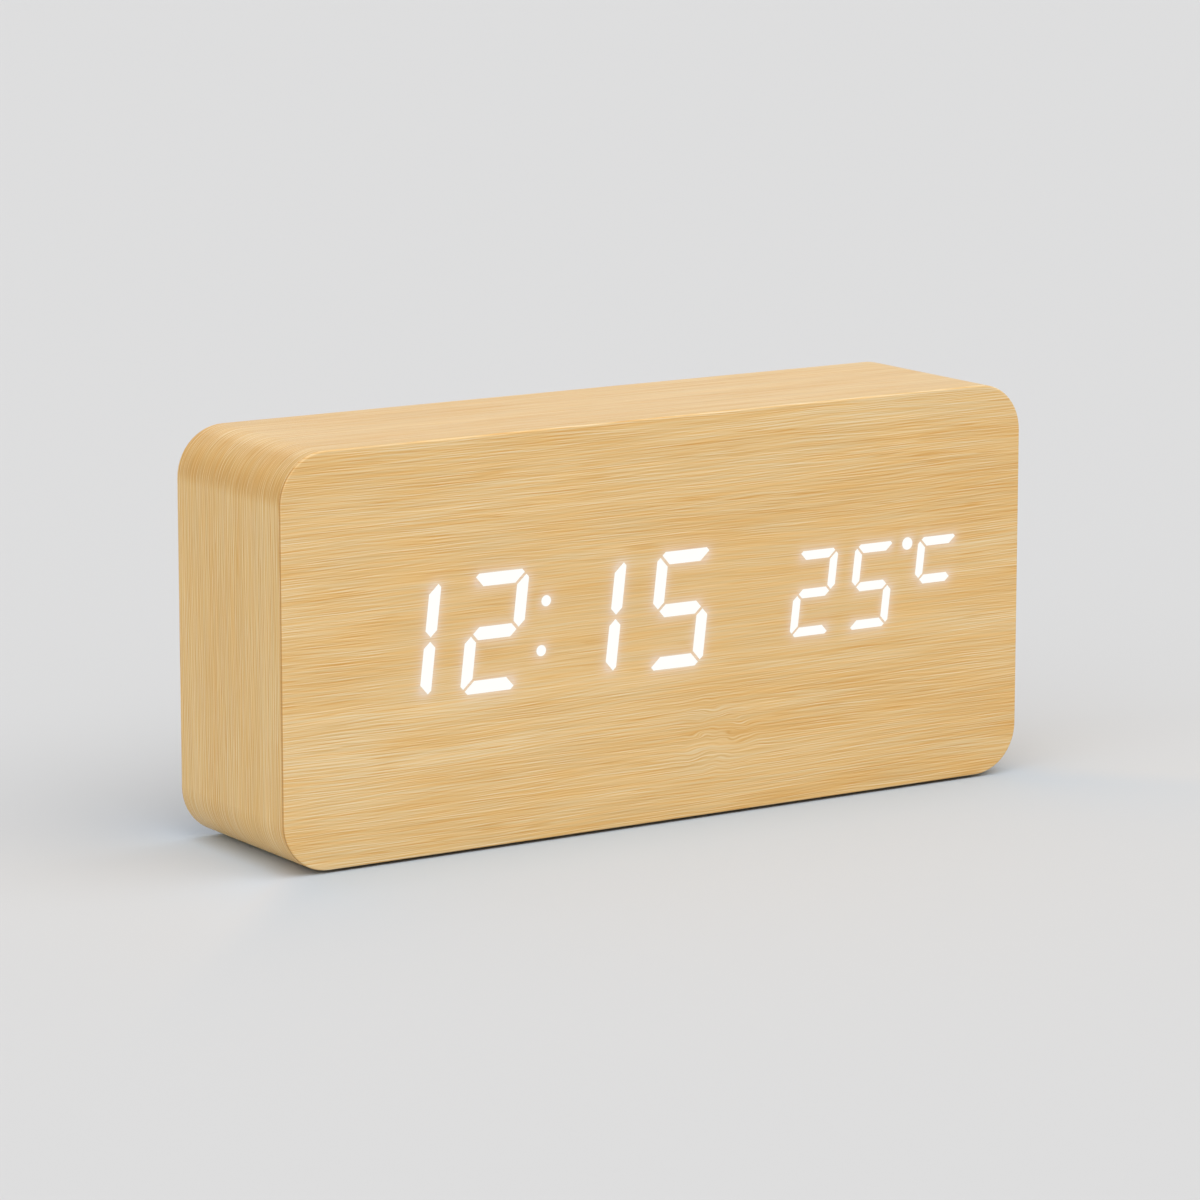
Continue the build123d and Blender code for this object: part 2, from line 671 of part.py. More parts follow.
def bay_cuts():
    """Battery space, door recess, hinge holes, latch pocket and slots for the contact tabs."""
    rear = COVER_FACE + OVERRUN
    cuts = [slab(oblong(BAY_LENGTH, BAY_HEIGHT, BAY_X), BAY_FLOOR, rear)]
    recess_width = DOOR_WIDTH + 2 * DOOR_FIT
    recess_height = DOOR_HEIGHT + 2 * DOOR_FIT
    cuts.append(slab(oblong(recess_width, recess_height, BAY_X), DOOR_INNER, rear))
    hinge_length = DOOR_WIDTH + 2 * (PIN_LENGTH + PIN_END_GAP)
    hinge_hole = Rot(0, 90, 0) * Cylinder(PIN_RADIUS + PIN_FIT, hinge_length)
    cuts.append(Pos(BAY_X, HINGE_Y, HINGE_Z) * hinge_hole)
    pocket_width = LATCH_WIDTH + 2 * LATCH_FIT
    pocket_height = 2 * (LATCH_REACH + LATCH_FIT)
    pocket = oblong(pocket_width, pocket_height, BAY_X, DOOR_BOTTOM)
    cuts.append(slab(pocket, DOOR_INNER, DOOR_INNER + LATCH_THICKNESS + LATCH_FIT))
    for x, z in ((BAY_LEFT + CONTACT / 2, cell_height(0)), (BAY_RIGHT - CONTACT / 2, cell_height(2))):
        slot = oblong(CONTACT + 2 * TAB_FIT, TAB_WIDTH + 2 * TAB_FIT, x, z)
        cuts.append(slab(slot, BAY_FRONT - OVERRUN, BAY_FLOOR + OVERRUN))
    return cuts


def rear_cover():
    outline = panel(INNER_WIDTH + 2 * (REBATE - COVER_FIT), INNER_HEIGHT + 2 * (REBATE - COVER_FIT),
                    CASE_INNER_RADIUS + REBATE - COVER_FIT)
    plate = slab(outline, COVER_INNER, COVER_FACE)
    plate = chamfer(rear_edges(plate), COVER_EDGE)
    tub = slab(oblong(TUB_WIDTH, TUB_HEIGHT, BAY_X), BAY_FRONT, COVER_INNER)
    bosses = [rod(BOSS_RADIUS, place, BOARD_REAR, COVER_INNER) for place in BOSS_PLACES]
    pilot = SCREW_RADIUS + SCREW_PILOT_FIT
    depth = BOARD_REAR + BOARD_SCREW_BITE + SCREW_PILOT_FIT
    pilots = [rod(pilot, place, BOARD_REAR - OVERRUN, depth) for place in BOSS_PLACES]
    return plate + tub + bosses - pilots - bay_cuts() - cover_holes()


def cover_screws():
    return group([
        screw(place, COVER_FACE, 1, COVER_SCREW_RADIUS, COVER_SCREW_LENGTH,
              COVER_SCREW_HEAD_RADIUS, COVER_SCREW_HEAD_HEIGHT, sunk=True)
        for place in BLOCK_PLACES
    ])


def battery_door():
    plate_height = DOOR_HEIGHT - DOOR_THICKNESS / 2
    plate_middle = DOOR_BOTTOM + plate_height / 2
    door = slab(oblong(DOOR_WIDTH, plate_height, BAY_X, plate_middle), DOOR_INNER, COVER_FACE)
    barrel = Rot(0, 90, 0) * Cylinder(DOOR_THICKNESS / 2, DOOR_WIDTH)
    pin = Rot(0, 90, 0) * Cylinder(PIN_RADIUS, DOOR_WIDTH + 2 * PIN_LENGTH)
    door += Pos(BAY_X, HINGE_Y, HINGE_Z) * (barrel + pin)
    latch = oblong(LATCH_WIDTH, 2 * LATCH_REACH, BAY_X, DOOR_BOTTOM)
    door += slab(latch, DOOR_INNER, DOOR_INNER + LATCH_THICKNESS)
    for index in range(GRIP_COUNT):
        height = DOOR_BOTTOM + GRIP_RISE + index * GRIP_PITCH
        ridge = Pos(BAY_X, height) * SlotOverall(GRIP_LENGTH, GRIP_WIDTH)
        door += slab(ridge, COVER_FACE, COVER_FACE + GRIP_HEIGHT)
    return door


# Batteries and their contacts

def cell_height(index):
    """Height of the axis of one cell, counted from the lowest."""
    return MIDDLE + (index - (CELL_COUNT - 1) / 2) * CELL_PITCH


def battery_cell(index):
    """Cell lying along X; every second one is turned end for end."""
    can_length = CELL_LENGTH - CELL_NUB_LENGTH
    can = Cylinder(CELL_RADIUS, can_length)
    can = fillet(can.edges().filter_by(GeomType.CIRCLE), CELL_EDGE)
    nub = Pos(0, 0, CELL_LENGTH / 2) * Cylinder(CELL_NUB_RADIUS, CELL_NUB_LENGTH)
    side = 1 if index % 2 == 0 else -1
    flat_end = BAY_LEFT + SPRING_SPACE if side > 0 else BAY_RIGHT - SPRING_SPACE
    middle = flat_end + side * can_length / 2
    return Pos(middle, BAY_MIDDLE, cell_height(index)) * Rot(0, 90 * side, 0) * (can + nub)


def contact_plate(wall, side, height, length):
    """Flat plate on an end wall of the bay; side points from the wall into the bay."""
    middle = wall + side * CONTACT / 2
    return Pos(middle, BAY_MIDDLE, height) * Box(CONTACT, CONTACT_SIDE, length)


def leaf_spring(wall, side, height):
    """Bowed strip between the wall's plate and the flat end of a cell."""
    half = CONTACT_SIDE / 2 * SPRING_FOOT_SHARE
    root = wall + side * CONTACT / 2
    crest = wall + side * (SPRING_SPACE - CONTACT / 2)
    tail = wall + side * CONTACT * 2
    points = [
        (root, BAY_MIDDLE - half, height),
        (crest, BAY_MIDDLE - half / 2, height),
        (crest, BAY_MIDDLE + half / 2, height),
        (tail, BAY_MIDDLE + half, height),
    ]
    path = FilletPolyline(*points, radius=SPRING_BEND)
    section = Plane(path @ 0, x_dir=(0, 0, 1), z_dir=path % 0) * Rectangle(SPRING_WIDTH, CONTACT)
    return sweep(section, path)


def contact_tab(wall, side, height):
    """Tail of a plate that runs out through the floor of the bay to take a wire."""
    tail = oblong(CONTACT, TAB_WIDTH, wall + side * CONTACT / 2, height)
    return slab(tail, BAY_FRONT - TAB_REACH, BAY_MIDDLE)


def end_contact(wall, side, height, sprung):
    contact = contact_plate(wall, side, height, CONTACT_SIDE) + contact_tab(wall, side, height)
    return contact + leaf_spring(wall, side, height) if sprung else contact


def bridge_contact(wall, side, flat_end_height, nub_height):
    """Plate across two cells: a spring for one's flat end, a bare face for the other's nub."""
    height = (flat_end_height + nub_height) / 2
    plate = contact_plate(wall, side, height, CELL_PITCH + CONTACT_SIDE)
    return plate + leaf_spring(wall, side, flat_end_height)


def battery_wire(wall, side, height, board_x):
    """Wire from a contact tab across the front of the bay to the front face of the main board."""
    start = wall + side * CONTACT / 2
    level = BAY_FRONT - WIRE_CLEAR - WIRE_RADIUS
    points = [
        (start, BAY_FRONT - TAB_REACH, height),
        (start, level, height),
        (board_x, level, height),
        (board_x, BOARD_FRONT, height),
    ]
    path = FilletPolyline(*points, radius=WIRE_BEND)
    return sweep(Plane(path @ 0, z_dir=path % 0) * Circle(WIRE_RADIUS), path)


def battery_wires():
    pad = BOARD_LEFT + WIRE_FROM_EDGE
    return group([
        battery_wire(BAY_LEFT, 1, cell_height(0), pad),
        battery_wire(BAY_RIGHT, -1, cell_height(2), pad),
    ])


# Buttons and switches

def button_outline(x, margin):
    return Pos(x, BUTTON_Z) * SlotOverall(BUTTON_LENGTH + 2 * margin, BUTTON_WIDTH + 2 * margin)


def button_icon(name, x):
    """Raised mark on a cap: a dot, or a triangle that points up or down."""
    if name == "set":
        return disc(ICON_SIZE / 2, (x, BUTTON_Z))
    turn = 90 if name == "up" else -90
    return Pos(x, BUTTON_Z) * Rot(0, 0, turn) * RegularPolygon(ICON_SIZE / 2, 3)


def button(name, x):
    top = COVER_FACE + BUTTON_PROUD
    cap = slab(button_outline(x, 0), PLUNGER_TOP, top)
    cap = fillet(rear_edges(cap), BUTTON_EDGE)
    cap += slab(button_outline(x, BUTTON_FLANGE), PLUNGER_TOP, FLANGE_REAR)
    return cap + slab(button_icon(name, x), top, top + ICON_HEIGHT)


def switch(x):
    """Switch body with a hollow for the foot of its plunger."""
    rear = BOARD_REAR + SWITCH_HEIGHT
    lid = rear - SWITCH_LID
    place = (x, BUTTON_Z)
    body = slab(oblong(SWITCH_SIDE, SWITCH_SIDE, x, BUTTON_Z), BOARD_REAR, rear)
    body -= rod(PLUNGER_RADIUS + PLUNGER_FLANGE + PLUNGER_FIT, place, BOARD_REAR + SWITCH_FLOOR, lid)
    return body - rod(PLUNGER_RADIUS + PLUNGER_FIT, place, lid - OVERRUN, rear + OVERRUN)


def plunger(x):
    place = (x, BUTTON_Z)
    foot_rear = BOARD_REAR + SWITCH_HEIGHT - SWITCH_LID - BUTTON_STOP_GAP
    foot_front = foot_rear - PLUNGER_FLANGE_THICKNESS
    foot = rod(PLUNGER_RADIUS + PLUNGER_FLANGE, place, foot_front, foot_rear)
    return foot + rod(PLUNGER_RADIUS, place, foot_front, PLUNGER_TOP)


# Main board and what stands on it

def main_board():
    board = slab(oblong(BOARD_WIDTH, BOARD_HEIGHT, BOARD_X), BOARD_FRONT, BOARD_REAR)
    hole = SCREW_RADIUS + SCREW_HOLE_FIT
    return board - [rod(hole, place, BOARD_FRONT - OVERRUN, BOARD_REAR + OVERRUN)
                    for place in BOSS_PLACES]


def board_screws():
    length = BOARD_THICKNESS + BOARD_SCREW_BITE
    return group([
        screw(place, BOARD_FRONT, -1, SCREW_RADIUS, length, SCREW_HEAD_RADIUS, SCREW_HEAD_HEIGHT)
        for place in BOSS_PLACES
    ])


def usb_outline(margin):
    x, z = USB_PLACE
    return panel(USB_WIDTH + 2 * margin, USB_HEIGHT + 2 * margin, USB_CORNER + margin, x, z)


def usb_socket():
    mouth = COVER_FACE - USB_RECESS
    shell = slab(usb_outline(0), BOARD_REAR, mouth)
    return shell - slab(usb_outline(-USB_SHELL), BOARD_REAR + USB_FLOOR, mouth + OVERRUN)


def usb_tongue():
    x, z = USB_PLACE
    tip = COVER_FACE - USB_RECESS - USB_TONGUE_RECESS
    return slab(oblong(USB_TONGUE_WIDTH, USB_TONGUE, x, z), BOARD_REAR + USB_FLOOR, tip)


def ported_can(radius, height, port_radius, place):
    """Round can on the rear side of the board with a sound port in its end."""
    rear = BOARD_REAR + height
    can = rod(radius, place, BOARD_REAR, rear)
    return can - rod(port_radius, place, rear - port_radius, rear + OVERRUN)


def buzzer():
    return ported_can(BUZZER_RADIUS, BUZZER_HEIGHT, BUZZER_PORT_RADIUS, BUZZER_PLACE)


def microphone():
    return ported_can(MICROPHONE_RADIUS, MICROPHONE_HEIGHT, MICROPHONE_PORT_RADIUS, MICROPHONE_PLACE)


def thermistor():
    x, z = BEAD_PLACE
    middle = BOARD_REAR + BEAD_RISE
    leads = [rod(BEAD_LEAD_RADIUS, (x + side * BEAD_LEAD_SPACING / 2, z), BOARD_REAR, middle)
             for side in (-1, 1)]
    return Pos(x, middle, z) * Sphere(BEAD_RADIUS) + leads


def control_chip():
    standing = Rot(90, 0, 0) * chip(CONTROL_CHIP_LENGTH, CONTROL_CHIP_PIN_COUNT)
    return Pos(BOARD_X + CONTROL_CHIP_SHIFT, BOARD_FRONT, MIDDLE + CONTROL_CHIP_RISE) * standing


def clock_crystal():
    can = Rot(0, 90, 0) * Cylinder(CRYSTAL_RADIUS, CRYSTAL_LENGTH)
    return Pos(BOARD_X + CRYSTAL_SHIFT, BOARD_FRONT - CRYSTAL_RADIUS, MIDDLE - CRYSTAL_DROP) * can


def smoothing_capacitor():
    place = (BOARD_X + CAPACITOR_SHIFT, MIDDLE - CAPACITOR_DROP)
    top = BOARD_FRONT - CAPACITOR_HEIGHT
    can = rod(CAPACITOR_RADIUS, place, top, BOARD_FRONT)
    return fillet(front_edges(can), CAPACITOR_EDGE)


def coin_cell_holder():
    front = BOARD_FRONT - HOLDER_FLOOR - COIN_HEIGHT - HOLDER_RIM
    cup = rod(COIN_RADIUS + COIN_FIT + HOLDER_WALL, COIN_PLACE, front, BOARD_FRONT)
    return cup - rod(COIN_RADIUS + COIN_FIT, COIN_PLACE, front - OVERRUN, BOARD_FRONT - HOLDER_FLOOR)


def coin_cell():
    rear = BOARD_FRONT - HOLDER_FLOOR
    cell = rod(COIN_RADIUS, COIN_PLACE, rear - COIN_HEIGHT, rear)
    return fillet(front_edges(cell), COIN_EDGE)


def coin_cell_clip():
    x, z = COIN_PLACE
    rear = BOARD_FRONT - HOLDER_FLOOR - COIN_HEIGHT - HOLDER_RIM
    length = 2 * (COIN_RADIUS + COIN_FIT) + HOLDER_WALL
    return slab(oblong(length, CLIP_WIDTH, x, z), rear - CLIP_THICKNESS, rear)


def ribbon_connectors():
    outline = oblong(PLUG_WIDTH, PLUG_LENGTH, *PLUG_PLACE)
    return group([
        slab(outline, DISPLAY_BACK, DISPLAY_BACK + PLUG_HEIGHT),
        slab(outline, BOARD_FRONT - PLUG_HEIGHT, BOARD_FRONT),
    ])


def ribbon_cable():
    """Flat cable that bows to one side between the two connectors."""
    x, z = PLUG_PLACE
    start = DISPLAY_BACK + PLUG_HEIGHT
    end = BOARD_FRONT - PLUG_HEIGHT
    lead = (end - start) * RIBBON_LEAD_SHARE
    points = [
        (x, start, z),
        (x, start + lead, z),
        (x + RIBBON_BOW, start + lead, z),
        (x + RIBBON_BOW, end - lead, z),
        (x, end - lead, z),
        (x, end, z),
    ]
    path = FilletPolyline(*points, radius=(end - start) * RIBBON_BEND_SHARE)
    section = Plane(path @ 0, x_dir=(1, 0, 0), z_dir=path % 0) * Rectangle(RIBBON_THICKNESS, RIBBON_WIDTH)
    return sweep(section, path)


# All pieces by name

def pieces():
    nodes = {
        "front_veneer": front_veneer(),
        "wrap_veneer": wrap_veneer(),
        "front_board": front_board(),
        "case_ring": case_ring(),
        "corner_blocks": corner_blocks(),
        "rubber_feet": rubber_feet(),
        "diffuser_film": diffuser_film(),
        "segment_reflector": segment_reflector(),
        "segment_light_guides": segment_light_guides(),
        "led_chips": led_chips(),
        "display_board": display_board(),
        "display_driver_chip": display_driver_chip(),
        "display_screws": display_screws(),
        "rear_cover": rear_cover(),
        "cover_screws": cover_screws(),
        "battery_door": battery_door(),
        "battery_cell_lower": battery_cell(0),
        "battery_cell_middle": battery_cell(1),
        "battery_cell_upper": battery_cell(2),
        "battery_negative_contact": end_contact(BAY_LEFT, 1, cell_height(0), sprung=True),
        "battery_positive_contact": end_contact(BAY_RIGHT, -1, cell_height(2), sprung=False),
        "battery_left_bridge": bridge_contact(BAY_LEFT, 1, cell_height(2), cell_height(1)),
        "battery_right_bridge": bridge_contact(BAY_RIGHT, -1, cell_height(1), cell_height(0)),
        "battery_wires": battery_wires(),
        "main_board": main_board(),
        "board_screws": board_screws(),
        "usb_socket": usb_socket(),
        "usb_tongue": usb_tongue(),
        "buzzer": buzzer(),
        "microphone": microphone(),
        "thermistor": thermistor(),
        "control_chip": control_chip(),
        "clock_crystal": clock_crystal(),
        "smoothing_capacitor": smoothing_capacitor(),
        "coin_cell_holder": coin_cell_holder(),
        "coin_cell": coin_cell(),
        "coin_cell_clip": coin_cell_clip(),
        "ribbon_connectors": ribbon_connectors(),
        "ribbon_cable": ribbon_cable(),
    }
    for name, outlines in lit_outlines().items():
        nodes[name] = lit_figure(outlines)
    for name, x in BUTTON_PLACES.items():
        nodes[name + "_button"] = button(name, x)
        nodes[name + "_switch"] = switch(x)
        nodes[name + "_plunger"] = plunger(x)
    return nodes


os.makedirs("parts", exist_ok=True)
for node, shape in pieces().items():
    export_step(shape, f"parts/{node}.step")
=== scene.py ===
import math

import bpy
from mathutils import Matrix, Vector


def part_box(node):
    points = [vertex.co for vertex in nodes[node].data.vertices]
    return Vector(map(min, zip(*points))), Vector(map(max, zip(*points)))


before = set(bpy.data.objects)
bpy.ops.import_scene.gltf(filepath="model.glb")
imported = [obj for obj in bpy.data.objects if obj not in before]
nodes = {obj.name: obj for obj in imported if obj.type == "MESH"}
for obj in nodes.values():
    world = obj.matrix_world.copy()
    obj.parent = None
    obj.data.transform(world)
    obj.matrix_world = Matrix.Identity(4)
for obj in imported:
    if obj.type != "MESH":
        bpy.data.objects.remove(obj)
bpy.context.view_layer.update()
scene = bpy.context.scene

# Places in the frame: materials are written in millimetres, lamps and camera in metres

MM_IN_METRE = 1000
SAME_PLACE = 0.001


def corners(name):
    """Lowest and highest corner of a CAD node, in millimetres."""
    low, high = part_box(name)
    return low * MM_IN_METRE, high * MM_IN_METRE


def points(name):
    """Every point of a CAD node, in millimetres."""
    return [tuple(value * MM_IN_METRE for value in vertex.co) for vertex in nodes[name].data.vertices]


front_low, front_high = corners("front_veneer")
FACE = front_low.y
TOP = front_high.z
HALF_WIDTH = front_high.x
HALF_DEPTH = -FACE
HALF_HEIGHT = (front_high.z - front_low.z) / 2
MIDDLE = (front_high.z + front_low.z) / 2
FLAT_WIDTH = max(x for x, y, z in points("front_veneer") if z > TOP - SAME_PLACE)
CORNER = HALF_WIDTH - FLAT_WIDTH
FLAT_HEIGHT = HALF_HEIGHT - CORNER


def tone(red, green, blue):
    """Screen colour, 0 to 255, as the linear colour that a shader takes."""
    def linear(value):
        share = value / 255
        return share / 12.92 if share <= 0.04045 else ((share + 0.055) / 1.055) ** 2.4
    return (linear(red), linear(green), linear(blue), 1.0)


class Paint:
    """One procedural material, with short calls that add nodes to it. Places are in millimetres."""

    def __init__(self, name):
        self.material = bpy.data.materials.new(name)
        self.material.use_nodes = True
        self.tree = self.material.node_tree
        self.shader = self.tree.nodes["Principled BSDF"]
        metres = self.add("ShaderNodeTexCoord").outputs["Object"]
        self.place = self.vector("MULTIPLY", metres, (MM_IN_METRE, MM_IN_METRE, MM_IN_METRE))

    def add(self, kind, **settings):
        node = self.tree.nodes.new(kind)
        for key, value in settings.items():
            setattr(node, key, value)
        return node

    def put(self, socket, value):
        if isinstance(value, bpy.types.NodeSocket):
            self.tree.links.new(value, socket)
        else:
            socket.default_value = value

    def set(self, **values):
        """Sets or links sockets of the shader, with spaces in their names written as underscores."""
        for key, value in values.items():
            self.put(self.shader.inputs[key.replace("_", " ")], value)

    def math(self, operation, *values, clamp=False):
        node = self.add("ShaderNodeMath", operation=operation, use_clamp=clamp)
        for socket, value in zip(node.inputs, values):
            self.put(socket, value)
        return node.outputs[0]

    def vector(self, operation, *values):
        node = self.add("ShaderNodeVectorMath", operation=operation)
        for socket, value in zip(node.inputs, values):
            self.put(socket, value)
        return node.outputs["Value" if operation == "LENGTH" else "Vector"]

    def split(self, vector):
        node = self.add("ShaderNodeSeparateXYZ")
        self.put(node.inputs[0], vector)
        return node.outputs

    def join(self, x, y, z):
        node = self.add("ShaderNodeCombineXYZ")
        for socket, value in zip(node.inputs, (x, y, z)):
            self.put(socket, value)
        return node.outputs[0]

    def noise(self, sizes, place=None, shift=(0, 0, 0), detail=2.0, distortion=0.0):
        """Smooth noise from 0 to 1 whose lumps are about the given sizes."""
        where = self.place if place is None else place
        where = self.vector("ADD", where, shift)
        where = self.vector("DIVIDE", where, sizes)
        node = self.add("ShaderNodeTexNoise")
        self.put(node.inputs["Vector"], where)
        self.put(node.inputs["Scale"], 1.0)
        self.put(node.inputs["Detail"], detail)
        self.put(node.inputs["Distortion"], distortion)
        return node.outputs[0]

    def span(self, value, low, high, out_low=0.0, out_high=1.0, smooth=True):
        """Value between low and high, brought to the range out_low to out_high."""
        kind = "SMOOTHSTEP" if smooth else "LINEAR"
        node = self.add("ShaderNodeMapRange", interpolation_type=kind, clamp=True)
        for socket, number in zip(node.inputs, (value, low, high, out_low, out_high)):
            self.put(socket, number)
        return node.outputs[0]

    def step(self, value, edge, width):
        """0 before an edge and 1 after it; a width below zero turns that round."""
        return self.span(value, edge, edge + width, smooth=False)

    def band(self, value, rise, fall, after=0.0):
        """1 between two places, rising over the first pair of numbers and falling over the second."""
        return self.math("MULTIPLY", self.span(value, *rise), self.span(value, *fall, 1.0, after))

    def beyond(self, value, middle, half):
        """How far a value lies beyond a half width from a middle, below zero within it."""
        return self.math("SUBTRACT", self.math("ABSOLUTE", self.math("SUBTRACT", value, middle)), half)

    def fade(self, distance, reach):
        """1 at distance zero, falling to about a third at the given reach."""
        return self.math("EXPONENT", self.math("MULTIPLY", self.math("DIVIDE", distance, reach), -1.0))

    def mix(self, share, first, second):
        node = self.add("ShaderNodeMix", data_type="RGBA")
        self.put(node.inputs[0], share)
        self.put(node.inputs[6], first)
        self.put(node.inputs[7], second)
        return node.outputs[2]

    def ramp(self, value, *stops):
        """Colour that changes with a value; each stop is a position and a colour."""
        node = self.add("ShaderNodeValToRGB")
        self.put(node.inputs[0], value)
        elements = node.color_ramp.elements
        while len(elements) < len(stops):
            elements.new(1.0)
        for element, (position, colour) in zip(elements, stops):
            element.position = position
            element.color = colour
        return node.outputs[0]

    def bump(self, height, depth):
        """Surface relief; depth is in millimetres."""
        node = self.add("ShaderNodeBump")
        self.put(node.inputs["Height"], height)
        self.put(node.inputs["Distance"], depth / MM_IN_METRE)
        self.put(node.inputs["Strength"], 1.0)
        self.set(Normal=node.outputs[0])

    def total(self, *terms):
        """Sum of pairs of a value around one half and how much it counts."""
        result = None
        for value, weight in terms:
            part = self.math("MULTIPLY_ADD", value, weight, -weight / 2)
            result = part if result is None else self.math("ADD", result, part)
        return result

    def dress(self, *names):
        for name in names:
            slots = nodes[name].data.materials
            slots.clear()
            slots.append(self.material)


# Wood: layers of the grain are a length along it, a width across it and a weight

GRAIN_LAYERS = (
    (150, 8.0, 0.36),
    (60, 3.4, 0.22),
    (30, 1.5, 0.33),
    (18, 0.62, 0.36),
    (11, 0.30, 0.55),
    (6, 0.17, 0.97),
)
WRAP_LAYERS = (
    (150, 8.0, 0.30),
    (60, 3.4, 0.20),
    (30, 1.5, 0.17),
    (18, 0.62, 0.36),
    (11, 0.30, 1.38),
    (6, 0.17, 2.30),
)
HUE_LAYERS = ((90, 5.0, 0.3), (40, 2.2, 0.5), (14, 0.5, 1.6))
BROAD_COUNT = 2
FINE_COUNT = 4
SWAY_SIZE = (85, 16, 1)
SWAY = 2.2
RIPPLE_SIZE = (6, 2.0, 1)
RIPPLE = 2.4
FLECK_SIZE = (10, 0.42, 1)
FLECK_CUT = (0.6, 0.75)
FLECK_WEIGHT = 0.34
CLUSTER_SIZE = (34, 5, 1)
CLUSTER_CUT = (0.42, 0.62)
LINE_SIZE = (70, 0.36, 1)
LINE_CUT = (0.66, 0.78)
LINE_WEIGHT = 0.2
HUE_FOLLOWS_SHADE = -0.8
MEAN_SHADE = 0.52
MEAN_HUE = 0.5
MEAN_RELIEF = 0.5

# Tones of the wood from dark to light, and how far they lean either way

WOOD_TONES = (
    (0.0, (210, 158, 84)),
    (0.28, (220, 176, 108)),
    (0.5, (227, 188, 125)),
    (0.75, (234, 200, 144)),
    (1.0, (241, 212, 162)),
)
ROSY_LEAN = (-4, 0.4, 6)
YELLOW_LEAN = (4, -0.4, -6)

# Slices of the noise that the parts of the grain are cut from, far enough apart to differ

SLICE_STEP = 11
RIPPLE_SLICE = 3
BROAD_SLICE = 11
FINE_SLICE = 43
THREAD_SLICE = 77
FLECK_SLICE = 153
CLUSTER_SLICE = 167
LINE_SLICE = 181
HUE_SLICE = 211
STREAK_SLICE = 307
STREAK_STEP = 9
FRONT_SEED = 605.0
WRAP_SEED = 91.0
BLOCK_SEED = 140.0

VENEER_ROUGHNESS = (0.56, 0.44)
VENEER_COAT = {"Coat_Weight": 0.12, "Coat_Roughness": 0.28}
VENEER_RELIEF = 0.006


def wood_grain(paint, along, across, seed, sizes=GRAIN_LAYERS, marks=0.85, calm=1.0, knot=None):
    """Tone and hue of bamboo veneer, each around one half, and the relief of its fibres."""
    sway = paint.noise(SWAY_SIZE, paint.join(along, across, seed), detail=1.0)
    across = paint.math("ADD", across, paint.math("MULTIPLY_ADD", sway, SWAY, -SWAY / 2))
    if knot is not None:
        ripple = paint.noise(RIPPLE_SIZE, paint.join(along, across, seed + RIPPLE_SLICE), detail=1.0)
        ripple = paint.math("MULTIPLY", paint.math("SUBTRACT", ripple, 0.5), knot)
        across = paint.math("MULTIPLY_ADD", ripple, RIPPLE, across)
    grain = paint.join(along, across, seed)

    def layer(length, width, cut, step=0.0):
        return paint.noise((length, width, 1), grain, (0, step, cut), detail=0.0)

    def layers(rows, cut):
        return [(layer(length, width, cut + SLICE_STEP * index), weight)
                for index, (length, width, weight) in enumerate(rows)]

    def threads(rows, cut):
        """Thin threads without slow drift: each is a noise less its neighbours on both sides."""
        for index, (length, width, weight) in enumerate(rows):
            place = cut + SLICE_STEP * index
            above = layer(length, width, place, width)
            below = layer(length, width, place, -width)
            middle = layer(length, width, place)
            beside = paint.math("ADD", above, below)
            yield paint.math("MULTIPLY_ADD", beside, -0.5, paint.math("ADD", middle, 0.5)), weight

    broad = paint.total(*layers(sizes[:BROAD_COUNT], BROAD_SLICE))
    fine = paint.total(*layers(sizes[BROAD_COUNT:FINE_COUNT], FINE_SLICE),
                       *threads(sizes[FINE_COUNT:], THREAD_SLICE))
    flecks = paint.noise(FLECK_SIZE, grain, (0, 0, FLECK_SLICE), detail=0.0)
    clusters = paint.noise(CLUSTER_SIZE, grain, (0, 0, CLUSTER_SLICE), detail=1.0)
    lines = paint.noise(LINE_SIZE, grain, (0, 0, LINE_SLICE), detail=0.0)
    flecks = paint.math("MULTIPLY", paint.span(flecks, *FLECK_CUT), paint.span(clusters, *CLUSTER_CUT))
    dark = paint.math("MULTIPLY", paint.span(lines, *LINE_CUT), LINE_WEIGHT * marks)
    dark = paint.math("MULTIPLY_ADD", flecks, FLECK_WEIGHT * marks, dark)
    fine = paint.math("SUBTRACT", fine, dark)
    shade = paint.math("MULTIPLY_ADD", fine, calm, broad)
    hue = paint.total(*layers(HUE_LAYERS, HUE_SLICE))
    hue = paint.math("MULTIPLY_ADD", shade, HUE_FOLLOWS_SHADE, hue)
    return (paint.math("ADD", shade, MEAN_SHADE), paint.math("ADD", hue, MEAN_HUE),
            paint.math("ADD", fine, MEAN_RELIEF))


def wood_colour(paint, shade, hue, cast=(0, 0, 0)):
    """Honey tones; hue leads from rosy grey to yellow orange, and the cast shifts all of them."""
    def tones(lean):
        return paint.ramp(shade, *[(position, tone(*map(sum, zip(colour, lean, cast))))
                                   for position, colour in WOOD_TONES])
    return paint.mix(hue, tones(ROSY_LEAN), tones(YELLOW_LEAN))


def rounded_edge(paint, x, z):
    """Distance outward from the outline of the front, below zero inside it."""
    across = paint.beyond(x, 0.0, FLAT_WIDTH)
    level = paint.beyond(z, MIDDLE, FLAT_HEIGHT)
    corner = paint.vector("MAXIMUM", paint.join(across, level, 0.0), (0, 0, 0))
    inside = paint.math("MINIMUM", paint.math("MAXIMUM", across, level), 0.0)
    reach = paint.math("ADD", paint.vector("LENGTH", corner), inside)
    return paint.math("SUBTRACT", reach, CORNER)


# Lit strokes and dots, from the frame, for the light that spreads from them

